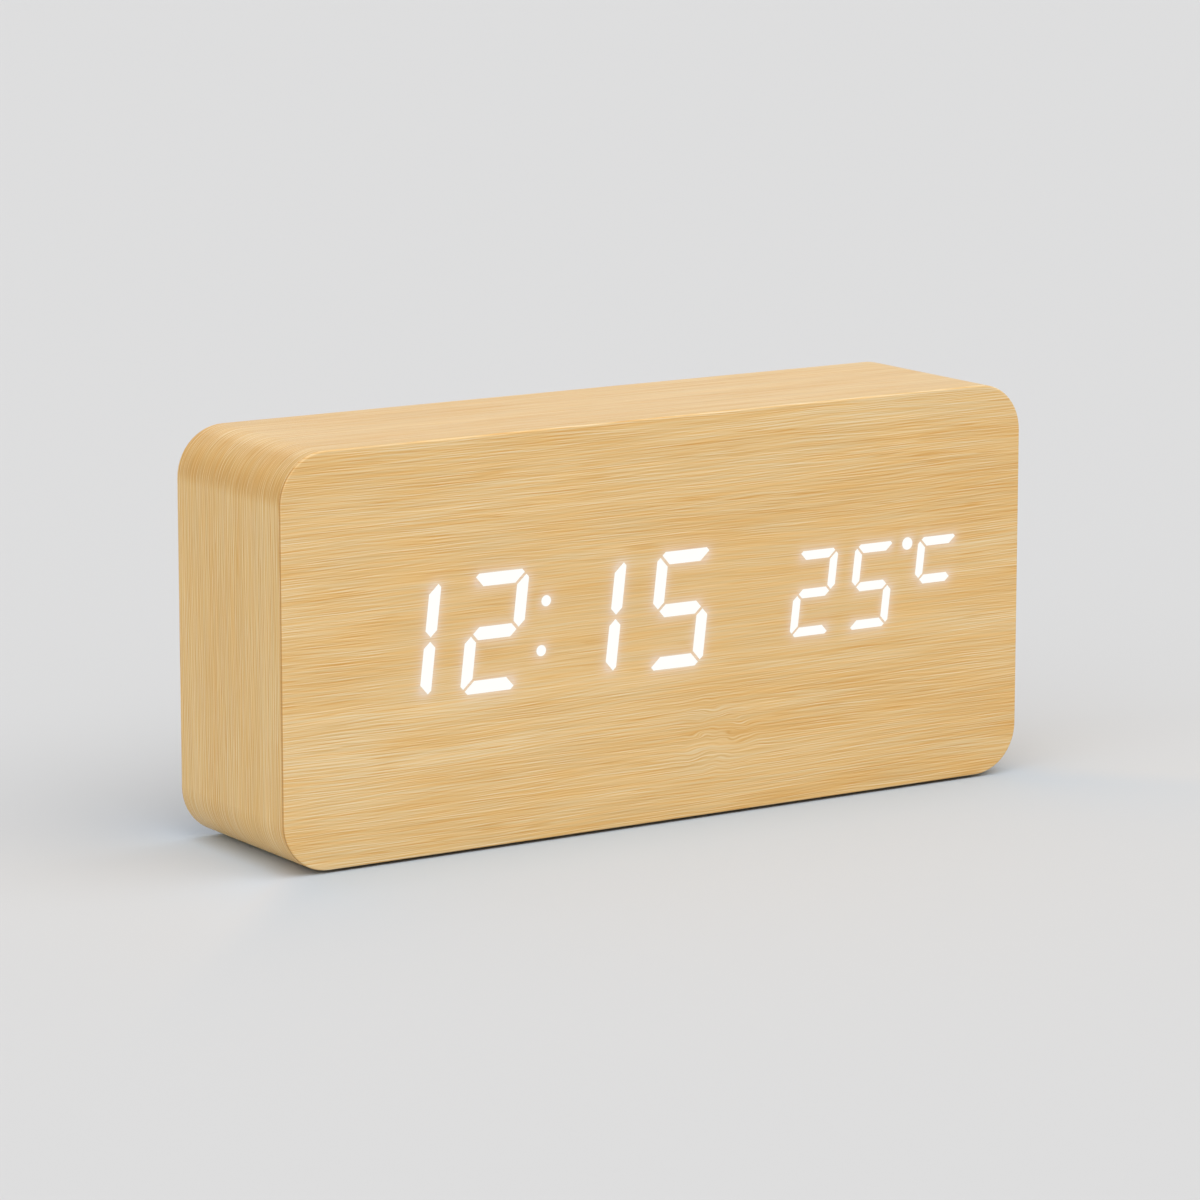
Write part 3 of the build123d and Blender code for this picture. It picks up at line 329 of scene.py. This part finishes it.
LIT_NODES = ("lit_hour_tens", "lit_hour_units", "lit_colon", "lit_minute_tens", "lit_minute_units",
             "lit_temperature_tens", "lit_temperature_units", "lit_degree_mark")
SLANT = 6.85
LEAN = math.tan(math.radians(SLANT))
FIGURE_MIDDLE = sum(corner.z for corner in corners("lit_hour_units")) / 2
GLOW_REACH = 0.76
GLOW_WEIGHT = 0.28
GLOW_TONE = tone(243, 226, 222)
GLOW_LIGHT = (0.38, 0.62, 1.0, 1)
GLOW_STRENGTH = 0.066
PLACE_DIGITS = 3


def solids(name):
    """Points of each separate solid of a CAD node: faces that share a point belong together."""
    spots = [tuple(round(value, PLACE_DIGITS) for value in point) for point in points(name)]
    groups = []
    for face in nodes[name].data.polygons:
        joined = {spots[index] for index in face.vertices}
        apart = []
        for group in groups:
            if group.isdisjoint(joined):
                apart.append(group)
            else:
                joined |= group
        groups = apart + [joined]
    return groups


def lit_bars():
    """Middle, half length each way and end radius of every lit stroke or dot, with the lean taken out."""
    for name in LIT_NODES:
        for solid in solids(name):
            levels = [z - FIGURE_MIDDLE for x, y, z in solid]
            places = [x - (z - FIGURE_MIDDLE) * LEAN for x, y, z in solid]
            half_width = (max(places) - min(places)) / 2
            half_height = (max(levels) - min(levels)) / 2
            radius = min(half_width, half_height)
            middle = (min(places) + half_width, min(levels) + half_height, 0)
            yield middle, (half_width - radius, half_height - radius, 0), radius


def glow_distance(paint, x, z):
    """Distance from the nearest lit stroke or dot, each taken as a bar with round ends."""
    rise = paint.math("SUBTRACT", z, FIGURE_MIDDLE)
    place = paint.join(paint.math("MULTIPLY_ADD", rise, -LEAN, x), rise, 0.0)
    nearest = None
    for middle, half, radius in lit_bars():
        offset = paint.vector("ABSOLUTE", paint.vector("SUBTRACT", place, middle))
        offset = paint.vector("MAXIMUM", paint.vector("SUBTRACT", offset, half), (0, 0, 0))
        away = paint.math("SUBTRACT", paint.vector("LENGTH", offset), radius)
        nearest = away if nearest is None else paint.math("MINIMUM", nearest, away)
    return paint.math("MAXIMUM", nearest, 0.0)


# Front veneer: calmer grain round the figures, one knot, painted light that is lighter to the left and
# darker to the right, a painted highlight along the upper edge, a dark seam that is partly painted shade
# of the rounded edge, and the figures' glow

CALM_MIDDLE = 2.0
CALM_HALF_WIDTH = 56.0
CALM_HALF_HEIGHT = 10.0
CALM_EDGE = (-3.0, 6.0)
CALM_LEVEL = 0.6
KNOT_PLACE = (11.0, 14.0)
KNOT_HALF = (9.0, 8.0)
KNOT_FADE = (0.2, 1.4)
# Painted light across the front: lighter to the left, darker to the right
PAINTED_LIGHT_SLOPE = (0.035, -0.03)
# Painted highlight: the rounded outer edge of the front is tinted paler, more strongly towards the top
EDGE_HIGHLIGHT = (-0.34, -0.2)
EDGE_HIGHLIGHT_RISE = (TOP - 25.5, TOP - 4.5)
EDGE_HIGHLIGHT_WEIGHT = 0.08
# Dark seam at the edge of the front veneer: partly its dark edge and partly painted shade of the rounded
# edge, fading out near the top
SEAM_SHADE_RISE = (FACE + 0.04, FACE + 0.16)
SEAM_SHADE_FALL = (FACE + 0.34, FACE + 0.46)
SEAM_SHADE_BEHIND = 0.35
SEAM_SHADE_TOP = (TOP - 3.5, TOP - 0.3)
SEAM_SHADE_WEIGHT = 0.85


def front_wood():
    paint = Paint("front_wood")
    x, y, z = paint.split(paint.place)
    beside = paint.beyond(x, CALM_MIDDLE, CALM_HALF_WIDTH)
    above = paint.beyond(z, FIGURE_MIDDLE, CALM_HALF_HEIGHT)
    calm = paint.span(paint.math("MAXIMUM", beside, above), *CALM_EDGE, CALM_LEVEL, 1.0)
    knot = [paint.math("DIVIDE", paint.math("SUBTRACT", value, place), half)
            for value, place, half in zip((x, z), KNOT_PLACE, KNOT_HALF)]
    knot = paint.span(paint.vector("LENGTH", paint.join(*knot, 0.0)), *KNOT_FADE, 1.0, 0.0)
    shade, hue, relief = wood_grain(paint, x, z, FRONT_SEED, calm=calm, knot=knot)
    # Painted light: the front's tone runs from lighter at the left to darker at the right
    light_slope = paint.span(x, -HALF_WIDTH, HALF_WIDTH, *PAINTED_LIGHT_SLOPE, smooth=False)
    shade = paint.math("ADD", shade, light_slope)
    colour = wood_colour(paint, shade, hue)
    # Painted highlight on the rounded edge, growing towards the top
    edge_highlight = paint.span(rounded_edge(paint, x, z), *EDGE_HIGHLIGHT)
    edge_highlight = paint.math("MULTIPLY", edge_highlight, paint.span(z, *EDGE_HIGHLIGHT_RISE, 0.0, EDGE_HIGHLIGHT_WEIGHT))
    colour = paint.mix(edge_highlight, colour, tone(246, 221, 176))
    # Dark seam, partly painted shade of the rounded edge
    seam_shade = paint.band(y, SEAM_SHADE_RISE, SEAM_SHADE_FALL, SEAM_SHADE_BEHIND)
    seam_shade = paint.math("MULTIPLY", seam_shade, paint.span(z, *SEAM_SHADE_TOP, SEAM_SHADE_WEIGHT, 0.0))
    colour = paint.mix(seam_shade, colour, tone(184, 132, 56))
    glow = paint.fade(glow_distance(paint, x, z), GLOW_REACH)
    colour = paint.mix(paint.math("MULTIPLY", glow, GLOW_WEIGHT), colour, GLOW_TONE)
    paint.set(Base_Color=colour, Roughness=paint.span(relief, 0, 1, *VENEER_ROUGHNESS), **VENEER_COAT,
              Emission_Color=GLOW_LIGHT, Emission_Strength=paint.math("MULTIPLY", glow, GLOW_STRENGTH))
    paint.bump(relief, VENEER_RELIEF)
    paint.dress("front_veneer")


# Wrap veneer: the grain runs round the case, with painted shade on the bends and a less yellow cast on top
# as painted sheen

# Painted shade on the bends: a broad dark band, a fifth as strong on the lower bends, and a narrower dark
# band nearer the sides on the upper bends
BEND_RISE = (CORNER * -0.12, CORNER * 0.25)
BEND_FALL = (CORNER * 0.8, CORNER * 0.97)
NARROW_SHADE_RISE = (CORNER * -0.05, CORNER * 0.25)
NARROW_SHADE_FALL = (CORNER * 0.35, CORNER * 0.6)
PAINTED_BEND_SHADE = -0.33
BEND_SHADE_BELOW = 0.2
BEND_SHADE_TINT = 0.1
NARROW_SHADE_DEPTH = -0.15
UPPER_HALF = (MIDDLE - 15.5, MIDDLE + 14.5)
UPWARD = (TOP - 4.5, TOP - 0.5)
WRAP_MARKS = 0.5
WRAP_CALM = 0.8
WRAP_HUE = 0.7
BROAD_STREAK = (60, 1.3, 1)
BROAD_STREAK_WEIGHT = 0.5
FINE_STREAK = (45, 0.6, 1)
FINE_STREAK_WEIGHT = 0.7
LIP_RISE = (FACE + 0.55, FACE + 1.1)
LIP_FALL = (FACE + 1.3, FACE + 2.4)
LIP_WEIGHT = 0.55
# The sides take a more yellow cast; the top's less yellow cast is a painted sheen
SIDE_CAST = (-1.5, -1, -6)
TOP_SHEEN_CAST = (-3, -1, 1.5)


def wrap_wood():
    paint = Paint("wrap_wood")
    x, y, z = paint.split(paint.place)
    along = paint.math("MULTIPLY", paint.math("SUBTRACT", z, TOP), paint.math("SIGN", x))
    along = paint.math("SUBTRACT", x, along)
    shade, hue, relief = wood_grain(paint, along, y, WRAP_SEED, WRAP_LAYERS, WRAP_MARKS, WRAP_CALM)
    level = paint.beyond(z, MIDDLE, FLAT_HEIGHT)
    # Painted shade on the bends
    bend_shade_mask = paint.band(level, BEND_RISE, BEND_FALL)
    bend_shade_mask = paint.math("MULTIPLY", bend_shade_mask, paint.span(z, *UPPER_HALF, BEND_SHADE_BELOW, 1.0))
    shade = paint.math("MULTIPLY_ADD", bend_shade_mask, PAINTED_BEND_SHADE, shade)
    # Painted shade: a narrower dark band on the upper bends
    narrow_shade_mask = paint.band(level, NARROW_SHADE_RISE, NARROW_SHADE_FALL)
    narrow_shade_mask = paint.math("MULTIPLY", narrow_shade_mask, paint.span(z, *UPPER_HALF))
    shade = paint.math("MULTIPLY_ADD", narrow_shade_mask, NARROW_SHADE_DEPTH, shade)
    upward = paint.span(z, *UPWARD)
    streaks = paint.join(along, y, STREAK_SLICE)
    broad = paint.noise(BROAD_STREAK, streaks, detail=1.0)
    fine = paint.noise(FINE_STREAK, streaks, (0, 0, STREAK_STEP), detail=0.0)
    streaks = paint.total((broad, BROAD_STREAK_WEIGHT), (fine, FINE_STREAK_WEIGHT))
    shade = paint.math("MULTIPLY_ADD", streaks, upward, shade)
    hue = paint.math("MULTIPLY_ADD", hue, WRAP_HUE, (1 - WRAP_HUE) / 2)
    side_colour = wood_colour(paint, shade, hue, SIDE_CAST)
    # Painted sheen: the top takes a less yellow copy of the wood colour
    colour = paint.mix(upward, side_colour, wood_colour(paint, shade, hue, TOP_SHEEN_CAST))
    # Painted shade: the bends are tinted towards a dull brown
    colour = paint.mix(paint.math("MULTIPLY", bend_shade_mask, BEND_SHADE_TINT), colour, tone(168, 140, 92))
    lip = paint.band(y, LIP_RISE, LIP_FALL)
    lip = paint.math("MULTIPLY", lip, paint.math("MULTIPLY", upward, LIP_WEIGHT))
    colour = paint.mix(lip, colour, tone(214, 176, 110))
    paint.set(Base_Color=colour, Roughness=paint.span(relief, 0, 1, *VENEER_ROUGHNESS), **VENEER_COAT)
    paint.bump(relief, VENEER_RELIEF)
    paint.dress("wrap_veneer")


# Plain wood and fibreboard under the veneer

BLOCK_RELIEF = 0.02
LUMP_SIZE = (3.0, 3.0, 3.0)
FLAKE_SIZE = (0.9, 0.25, 0.9)
DUST_SIZE = (0.18, 0.18, 0.18)
BOARD_RELIEF = 0.04


def block_wood():
    paint = Paint("block_wood")
    x, y, z = paint.split(paint.place)
    shade, hue, relief = wood_grain(paint, y, z, BLOCK_SEED)
    colour = paint.ramp(shade, (0.1, tone(170, 125, 75)), (0.9, tone(214, 178, 126)))
    paint.set(Base_Color=colour, Roughness=paint.span(relief, 0, 1, 0.8, 0.65))
    paint.bump(relief, BLOCK_RELIEF)
    paint.dress("corner_blocks")


def fibreboard():
    paint = Paint("fibreboard")
    lumps = paint.noise(LUMP_SIZE, detail=3.0)
    flakes = paint.noise(FLAKE_SIZE, shift=(7, 3, 1), detail=2.0, distortion=0.6)
    dust = paint.noise(DUST_SIZE, shift=(2, 9, 4), detail=1.0)
    shade = paint.math("ADD", paint.total((lumps, 0.5), (flakes, 0.9), (dust, 0.5)), 0.5)
    colour = paint.ramp(shade, (0.1, tone(122, 88, 56)), (0.5, tone(160, 122, 82)),
                        (0.9, tone(190, 154, 112)))
    paint.set(Base_Color=colour, Roughness=0.9)
    paint.bump(shade, BOARD_RELIEF)
    paint.dress("front_board", "case_ring")


front_wood()
wrap_wood()
block_wood()
fibreboard()


# Figures that shine

HAZE_SIZE = (2.4, 2.4, 2.4)
LIT_DIMMER = (0.955, 0.955, 0.91, 1)
LIT_BRIGHTER = (0.975, 0.975, 0.94, 1)


def lit_segment():
    paint = Paint("lit_segment")
    haze = paint.noise(HAZE_SIZE, detail=1.0)
    light = paint.mix(haze, LIT_DIMMER, LIT_BRIGHTER)
    paint.set(Base_Color=(0.02, 0.02, 0.02, 1), Emission_Color=light, Emission_Strength=1.0, Roughness=0.5)
    paint.dress(*LIT_NODES)


lit_segment()

# Plastics and rubber: tones from dark to light, size and depth of the pits, roughness

PLASTIC_CLOUD = (14, 14, 14)
PLASTIC_SPREAD = 0.05


def plastic(name, dark, light, pit, depth, rough):
    """Moulded plastic with a fine sparkle of pits and slow changes of tone."""
    paint = Paint(name)
    pits = paint.noise((pit, pit, pit), detail=1.0)
    cloud = paint.noise(PLASTIC_CLOUD, shift=(3, 5, 7), detail=2.0)
    blend = paint.math("ADD", paint.total((pits, 0.9), (cloud, 0.8)), 0.5, clamp=True)
    paint.set(Base_Color=paint.mix(blend, tone(*dark), tone(*light)),
              Roughness=paint.span(cloud, 0.3, 0.7, rough - PLASTIC_SPREAD, rough + PLASTIC_SPREAD))
    if depth:
        paint.bump(pits, depth)
    return paint


plastic("cover_black", (24, 24, 25), (40, 40, 42), 0.28, 0.03, 0.5).dress("rear_cover", "battery_door")
plastic("foot_rubber", (20, 20, 20), (38, 37, 36), 0.5, 0.02, 0.85).dress("rubber_feet")
plastic("white_plastic", (214, 214, 208), (234, 234, 229), 0.5, 0.01, 0.45).dress(
    "segment_reflector", "ribbon_connectors")
plastic("diffuser", (226, 226, 222), (240, 240, 238), 0.8, 0.004, 0.6).dress("diffuser_film")
plastic("light_guide", (222, 226, 226), (243, 245, 245), 1.2, 0.0, 0.25).dress("segment_light_guides")
plastic("led", (236, 214, 120), (250, 236, 170), 0.3, 0.0, 0.35).dress("led_chips")
plastic("inner_black", (18, 18, 19), (36, 36, 38), 0.4, 0.01, 0.42).dress(
    "usb_tongue", "buzzer", "coin_cell_holder", "set_switch", "up_switch", "down_switch",
    "set_plunger", "up_plunger", "down_plunger")

MARK_HEIGHT = 0.08
MARK_EDGE = 0.04


def button_black():
    """Caps whose raised marks are pale."""
    paint = plastic("button_black", (28, 28, 29), (44, 44, 46), 0.35, 0.008, 0.38)
    x, y, z = paint.split(paint.place)
    mark = paint.step(y, corners("set_button")[1].y - MARK_HEIGHT, MARK_EDGE)
    cap = paint.shader.inputs["Base Color"].links[0].from_socket
    paint.set(Base_Color=paint.mix(mark, cap, tone(205, 205, 203)))
    paint.dress("set_button", "up_button", "down_button")


button_black()

# Metals: tones from dark to light, sizes of the drawn marks, roughness, depth of the marks

METAL_CLOUD = (6, 6, 6)
SMOOTHER = 0.07
ROUGHER = 0.09


def metal(name, dark, light, sizes, rough, depth=0.0):
    """Bare or plated metal with drawn marks of the given sizes."""
    paint = Paint(name)
    marks = paint.noise(sizes, detail=2.0)
    cloud = paint.noise(METAL_CLOUD, shift=(4, 1, 8), detail=1.0)
    blend = paint.math("ADD", paint.total((marks, 0.9), (cloud, 0.7)), 0.5, clamp=True)
    paint.set(Base_Color=paint.mix(blend, tone(*dark), tone(*light)), Metallic=1.0,
              Roughness=paint.span(marks, 0.25, 0.75, rough - SMOOTHER, rough + ROUGHER))
    if depth:
        paint.bump(marks, depth)
    return paint


metal("screw_steel", (150, 150, 150), (198, 197, 194), (0.3, 0.8, 0.3), 0.32).dress(
    "display_screws", "board_screws")
metal("screw_black", (34, 34, 36), (66, 65, 66), (0.25, 0.8, 0.25), 0.42).dress("cover_screws")
metal("contact_steel", (176, 174, 168), (214, 212, 206), (0.4, 4.0, 0.4), 0.26, 0.004).dress(
    "battery_negative_contact", "battery_positive_contact", "battery_left_bridge", "battery_right_bridge",
    "coin_cell_clip")
metal("socket_steel", (168, 168, 170), (206, 206, 207), (0.5, 3.0, 0.5), 0.28, 0.003).dress("usb_socket")
metal("can_metal", (168, 169, 172), (204, 205, 207), (0.5, 0.5, 0.5), 0.3, 0.003).dress(
    "microphone", "clock_crystal", "coin_cell")

# Batteries: plain wrap, bare steel ends, a pale band at the end with the stud

CELL_BAND = 14.05
CELL_STUD = 1.05
CELL_BARE = 0.75
CELL_EDGE = 0.1
CELL_BAND_EDGE = 0.15
SCUFF_SIZE = (3.0, 0.6, 0.6)


def cell_jacket(name, stud_at_right, *cells):
    paint = Paint(name)
    x, y, z = paint.split(paint.place)
    low, high = corners(cells[0])
    from_stud = paint.math("SUBTRACT", high.x, x) if stud_at_right else paint.math("SUBTRACT", x, low.x)
    scuff = paint.noise(SCUFF_SIZE, detail=2.0)
    wrap = paint.mix(scuff, tone(46, 78, 104), tone(62, 98, 126))
    band = paint.mix(scuff, tone(206, 208, 206), tone(222, 223, 221))
    wrap = paint.mix(paint.step(from_stud, CELL_BAND, -CELL_BAND_EDGE), wrap, band)
    bare = paint.math("MAXIMUM", paint.step(from_stud, CELL_STUD, -CELL_EDGE),
                      paint.step(from_stud, high.x - low.x - CELL_BARE, CELL_EDGE))
    steel = paint.mix(scuff, tone(182, 181, 177), tone(212, 211, 207))
    paint.set(Base_Color=paint.mix(bare, wrap, steel), Metallic=bare,
              Roughness=paint.span(scuff, 0.3, 0.7, 0.26, 0.36))
    paint.dress(*cells)


cell_jacket("cell_jacket", True, "battery_cell_lower", "battery_cell_upper")
cell_jacket("cell_jacket_turned", False, "battery_cell_middle")

# Circuit boards and what stands on them

TRACK_COLUMN = 7.0
TRACK_PITCH = 1.3
TRACK_SHIFT = 0.37
TRACK_EDGE = (0.16, 0.12)
TRACK_RELIEF = 0.03
PATCH_SIZE = (9, 9, 9)
PATCH_CUT = (0.44, 0.5)
MASK_CLOUD = (5, 5, 5)
CHIP_BODY_HALF = 3.75
LEG_EDGE = 0.02
CHIP_GRIT = (0.2, 0.2, 0.2)
SLEEVE_STRIPE = 1.4
STRIPE_EDGE = 0.1
SLEEVE_END = 0.06
END_EDGE = 0.05
SLEEVE_GRIT = (0.4, 2.0, 0.4)
BEAD_LENGTH = 2.62
LEAD_EDGE = 0.04
BEAD_GRIT = (0.6, 0.6, 0.6)
WIRE_EDGE = 0.2
WIRE_GRIT = (1.2, 1.2, 1.2)
STRAND_COUNT = 10
STRAND_EDGE = 0.04
GROOVE_EDGE = (0.36, 0.48)
GROOVE_DEPTH = 0.12


def green_board():
    """Solder mask over copper tracks that shift from column to column."""
    paint = Paint("green_board")
    x, y, z = paint.split(paint.place)
    column = paint.math("FLOOR", paint.math("DIVIDE", x, TRACK_COLUMN))
    track = paint.math("MULTIPLY_ADD", column, TRACK_SHIFT, paint.math("DIVIDE", z, TRACK_PITCH))
    track = paint.math("ABSOLUTE", paint.math("SUBTRACT", paint.math("FRACT", track), 0.5))
    track = paint.span(track, *TRACK_EDGE)
    patch = paint.span(paint.noise(PATCH_SIZE, detail=0.0), *PATCH_CUT)
    track = paint.math("MULTIPLY", track, patch)
    cloud = paint.noise(MASK_CLOUD, shift=(1, 2, 3), detail=2.0)
    mask = paint.mix(cloud, tone(14, 74, 48), tone(22, 92, 60))
    paint.set(Base_Color=paint.mix(track, mask, tone(44, 124, 84)),
              Roughness=paint.span(cloud, 0.3, 0.7, 0.3, 0.4))
    paint.bump(track, TRACK_RELIEF)
    paint.dress("display_board", "main_board")


def chip_black(name, node):
    """Black resin body with tinned legs along both sides."""
    paint = Paint(name)
    x, y, z = paint.split(paint.place)
    low, high = corners(node)
    legs = paint.step(paint.beyond(z, (low.z + high.z) / 2, CHIP_BODY_HALF), -LEG_EDGE / 2, LEG_EDGE)
    grit = paint.noise(CHIP_GRIT, detail=1.0)
    body = paint.mix(grit, tone(22, 22, 23), tone(44, 44, 45))
    tin = paint.mix(grit, tone(178, 178, 176), tone(208, 208, 206))
    paint.set(Base_Color=paint.mix(legs, body, tin), Metallic=legs,
              Roughness=paint.span(grit, 0.3, 0.7, 0.42, 0.55))
    paint.dress(node)


def capacitor_sleeve():
    """Dark film with one pale stripe, open over the metal end."""
    paint = Paint("capacitor_sleeve")
    x, y, z = paint.split(paint.place)
    low, high = corners("smoothing_capacitor")
    grit = paint.noise(SLEEVE_GRIT, detail=1.0)
    film = paint.mix(grit, tone(24, 30, 52), tone(36, 44, 70))
    film = paint.mix(paint.step(x, high.x - SLEEVE_STRIPE, STRIPE_EDGE), film, tone(190, 192, 198))
    end = paint.step(y, low.y + SLEEVE_END, -END_EDGE)
    tin = paint.mix(grit, tone(176, 177, 180), tone(206, 207, 209))
    paint.set(Base_Color=paint.mix(end, film, tin), Metallic=end,
              Roughness=paint.span(grit, 0.3, 0.7, 0.28, 0.4))
    paint.dress("smoothing_capacitor")


def bead_resin():
    """Dipped resin with tinned leads."""
    paint = Paint("bead_resin")
    x, y, z = paint.split(paint.place)
    grit = paint.noise(BEAD_GRIT, detail=1.0)
    leads = paint.step(y, corners("thermistor")[1].y - BEAD_LENGTH, -LEAD_EDGE)
    resin = paint.mix(grit, tone(26, 26, 27), tone(40, 40, 41))
    tin = paint.mix(grit, tone(180, 180, 178), tone(208, 208, 206))
    paint.set(Base_Color=paint.mix(leads, resin, tin), Metallic=leads,
              Roughness=paint.span(grit, 0.3, 0.7, 0.2, 0.3))
    paint.dress("thermistor")


def wire_jacket():
    """Black lower wire and red upper wire."""
    paint = Paint("wire_jacket")
    x, y, z = paint.split(paint.place)
    grit = paint.noise(WIRE_GRIT, detail=1.0)
    black = paint.mix(grit, tone(22, 22, 23), tone(36, 36, 37))
    red = paint.mix(grit, tone(150, 28, 26), tone(176, 38, 34))
    low, high = corners("battery_wires")
    paint.set(Base_Color=paint.mix(paint.step(z, (low.z + high.z) / 2, WIRE_EDGE), black, red),
              Roughness=paint.span(grit, 0.3, 0.7, 0.36, 0.46))
    paint.dress("battery_wires")


def ribbon_grey():
    """Grey strands with painted shade in the grooves between them, the first one red."""
    paint = Paint("ribbon_grey")
    x, y, z = paint.split(paint.place)
    low, high = corners("ribbon_cable")
    pitch = (high.z - low.z) / STRAND_COUNT
    strand = paint.math("FRACT", paint.math("DIVIDE", paint.math("SUBTRACT", z, low.z), pitch))
    groove = paint.math("ABSOLUTE", paint.math("SUBTRACT", strand, 0.5))
    # Painted shade: the grooves are painted a darker grey
    grey = paint.mix(paint.span(groove, *GROOVE_EDGE), tone(176, 176, 178), tone(128, 128, 131))
    first = paint.step(z, low.z + pitch + STRAND_EDGE / 2, -STRAND_EDGE)
    paint.set(Base_Color=paint.mix(first, grey, tone(168, 52, 48)),
              Roughness=paint.span(groove, 0, 0.5, 0.4, 0.5))
    paint.bump(groove, -GROOVE_DEPTH)
    paint.dress("ribbon_cable")


green_board()
chip_black("chip_black", "display_driver_chip")
chip_black("chip_black_small", "control_chip")
capacitor_sleeve()
bead_resin()
wire_jacket()
ribbon_grey()

# Floor: pale; close to the clock it is painted cooler, where the wood throws warm light on it, with
# painted shade darker in front and to the right, painted light to the left, and a painted shadow under the
# case

FLOOR_REACH = 8.0
FLOOR_INSET = 5.0
FLOOR_INSET_DEPTH = 4.5
# Near colours: cooler to offset the wood's warm bounced light, with painted shade in front and to the
# right and painted light to the left
FLOOR_FAR = (0.635, 0.635, 0.638, 1)
FLOOR_LEFT = (0.66, 0.735, 0.825, 1)
FLOOR_CORNER = (0.63, 0.66, 0.70, 1)
FLOOR_RIGHT = (0.56, 0.595, 0.635, 1)
FLOOR_FRONT = (0.515, 0.575, 0.64, 1)
FLOOR_PAINTED_SHADOW = (0.32, 0.32, 0.32, 1)
SIDE_FADE = 11.0
FRONT_FADE = 28.0
FRONT_TURN = (-12.0, 10.0)
LEFT_TO_RIGHT = (-20.0, 20.0)
UNDER_ENDS = (HALF_WIDTH - 6.0, HALF_WIDTH - 12.0)
UNDER_FACES = (HALF_DEPTH - 0.2, HALF_DEPTH - 0.8)


def floor_paint():
    paint = Paint("floor")
    x, y, z = paint.split(paint.place)
    inner_depth = HALF_DEPTH - FLOOR_INSET_DEPTH
    aside = paint.beyond(x, 0.0, HALF_WIDTH - FLOOR_INSET)
    ahead = paint.beyond(y, 0.0, inner_depth)
    away = paint.vector("MAXIMUM", paint.join(aside, ahead, 0.0), (0, 0, 0))
    away = paint.math("SUBTRACT", paint.vector("LENGTH", away), FLOOR_INSET)
    front = paint.math("SUBTRACT", paint.math("SUBTRACT", -inner_depth, y), aside)
    front = paint.span(front, *FRONT_TURN)
    reach = paint.math("MULTIPLY_ADD", front, FRONT_FADE - SIDE_FADE, SIDE_FADE)
    near = paint.fade(paint.math("MAXIMUM", away, 0.0), reach)
    left = paint.ramp(front, (0.0, FLOOR_LEFT), (0.5, FLOOR_CORNER), (1.0, FLOOR_FRONT))
    right = paint.ramp(front, (0.0, FLOOR_RIGHT), (1.0, FLOOR_FRONT))
    colour = paint.mix(near, FLOOR_FAR, paint.mix(paint.span(x, *LEFT_TO_RIGHT), left, right))
    # Painted shadow: the floor beneath the case is darkened
    under = paint.math("MULTIPLY", paint.span(paint.math("ABSOLUTE", x), *UNDER_ENDS),
                       paint.span(paint.math("ABSOLUTE", y), *UNDER_FACES))
    paint.set(Base_Color=paint.mix(under, colour, FLOOR_PAINTED_SHADOW), Roughness=0.9, Specular_IOR_Level=0.1)
    return paint


floor_mesh = bpy.data.meshes.new("floor")
floor_corners = [(x * FLOOR_REACH, y * FLOOR_REACH, 0) for x, y in ((-1, -1), (1, -1), (1, 1), (-1, 1))]
floor_mesh.from_pydata(floor_corners, [], [(0, 1, 2, 3)])
floor = bpy.data.objects.new("floor", floor_mesh)
scene.collection.objects.link(floor)
floor_mesh.materials.append(floor_paint().material)

# Light: a white sky that shows as pale grey, and two soft lamps

SKY_LEVEL = 0.56
SKY_SEEN = (0.72, 0.72, 0.725, 1)


def studio_world():
    world = bpy.data.worlds.new("studio")
    scene.world = world
    world.use_nodes = True
    tree = world.node_tree
    light = tree.nodes["Background"]
    light.inputs["Color"].default_value = (1, 1, 1, 1)
    light.inputs["Strength"].default_value = SKY_LEVEL
    seen = tree.nodes.new("ShaderNodeBackground")
    seen.inputs["Color"].default_value = SKY_SEEN
    seen.inputs["Strength"].default_value = 1.0
    path = tree.nodes.new("ShaderNodeLightPath")
    shown = path.outputs["Is Camera Ray"]
    for ray in ("Is Glossy Ray", "Is Transmission Ray"):
        either = tree.nodes.new("ShaderNodeMath")
        either.operation = "MAXIMUM"
        tree.links.new(shown, either.inputs[0])
        tree.links.new(path.outputs[ray], either.inputs[1])
        shown = either.outputs[0]
    choice = tree.nodes.new("ShaderNodeMixShader")
    for socket, source in zip(choice.inputs, (shown, light.outputs[0], seen.outputs[0])):
        tree.links.new(source, socket)
    tree.links.new(choice.outputs[0], tree.nodes["World Output"].inputs["Surface"])


def sun(name, towards, level, spread):
    """Distant soft lamp; level 1 lights a white surface that faces it to white."""
    lamp = bpy.data.lights.new(name, "SUN")
    lamp.energy = level * math.pi
    lamp.angle = math.radians(spread)
    holder = bpy.data.objects.new(name, lamp)
    holder.rotation_euler = Vector(towards).to_track_quat("Z", "Y").to_euler()
    scene.collection.objects.link(holder)


studio_world()
sun("key", towards=(0.2, -0.38, 0.9), level=0.5, spread=70)
sun("fill", towards=(-0.75, -0.45, 0.5), level=0.27, spread=70)

# Camera at the photograph's viewing angle

AZIMUTH = math.radians(-32.922)
ELEVATION = math.radians(10.749)
DISTANCE = 0.9158
TARGET = Vector((-0.003968, -0.003, 0.037101))
LENS = 159.746
SENSOR = 36.0
CLIP_START = 0.05

back = Vector((math.sin(AZIMUTH) * math.cos(ELEVATION), -math.cos(AZIMUTH) * math.cos(ELEVATION),
               math.sin(ELEVATION)))
right = Vector((math.cos(AZIMUTH), math.sin(AZIMUTH), 0))
turn = Matrix((right, back.cross(right), back)).transposed()
optics = bpy.data.cameras.new("camera")
optics.lens = LENS
optics.sensor_width = SENSOR
optics.clip_start = CLIP_START
camera = bpy.data.objects.new("camera", optics)
camera.matrix_world = Matrix.LocRotScale(TARGET + back * DISTANCE, turn, None)
scene.collection.objects.link(camera)
scene.camera = camera
scene.view_settings.view_transform = "Standard"
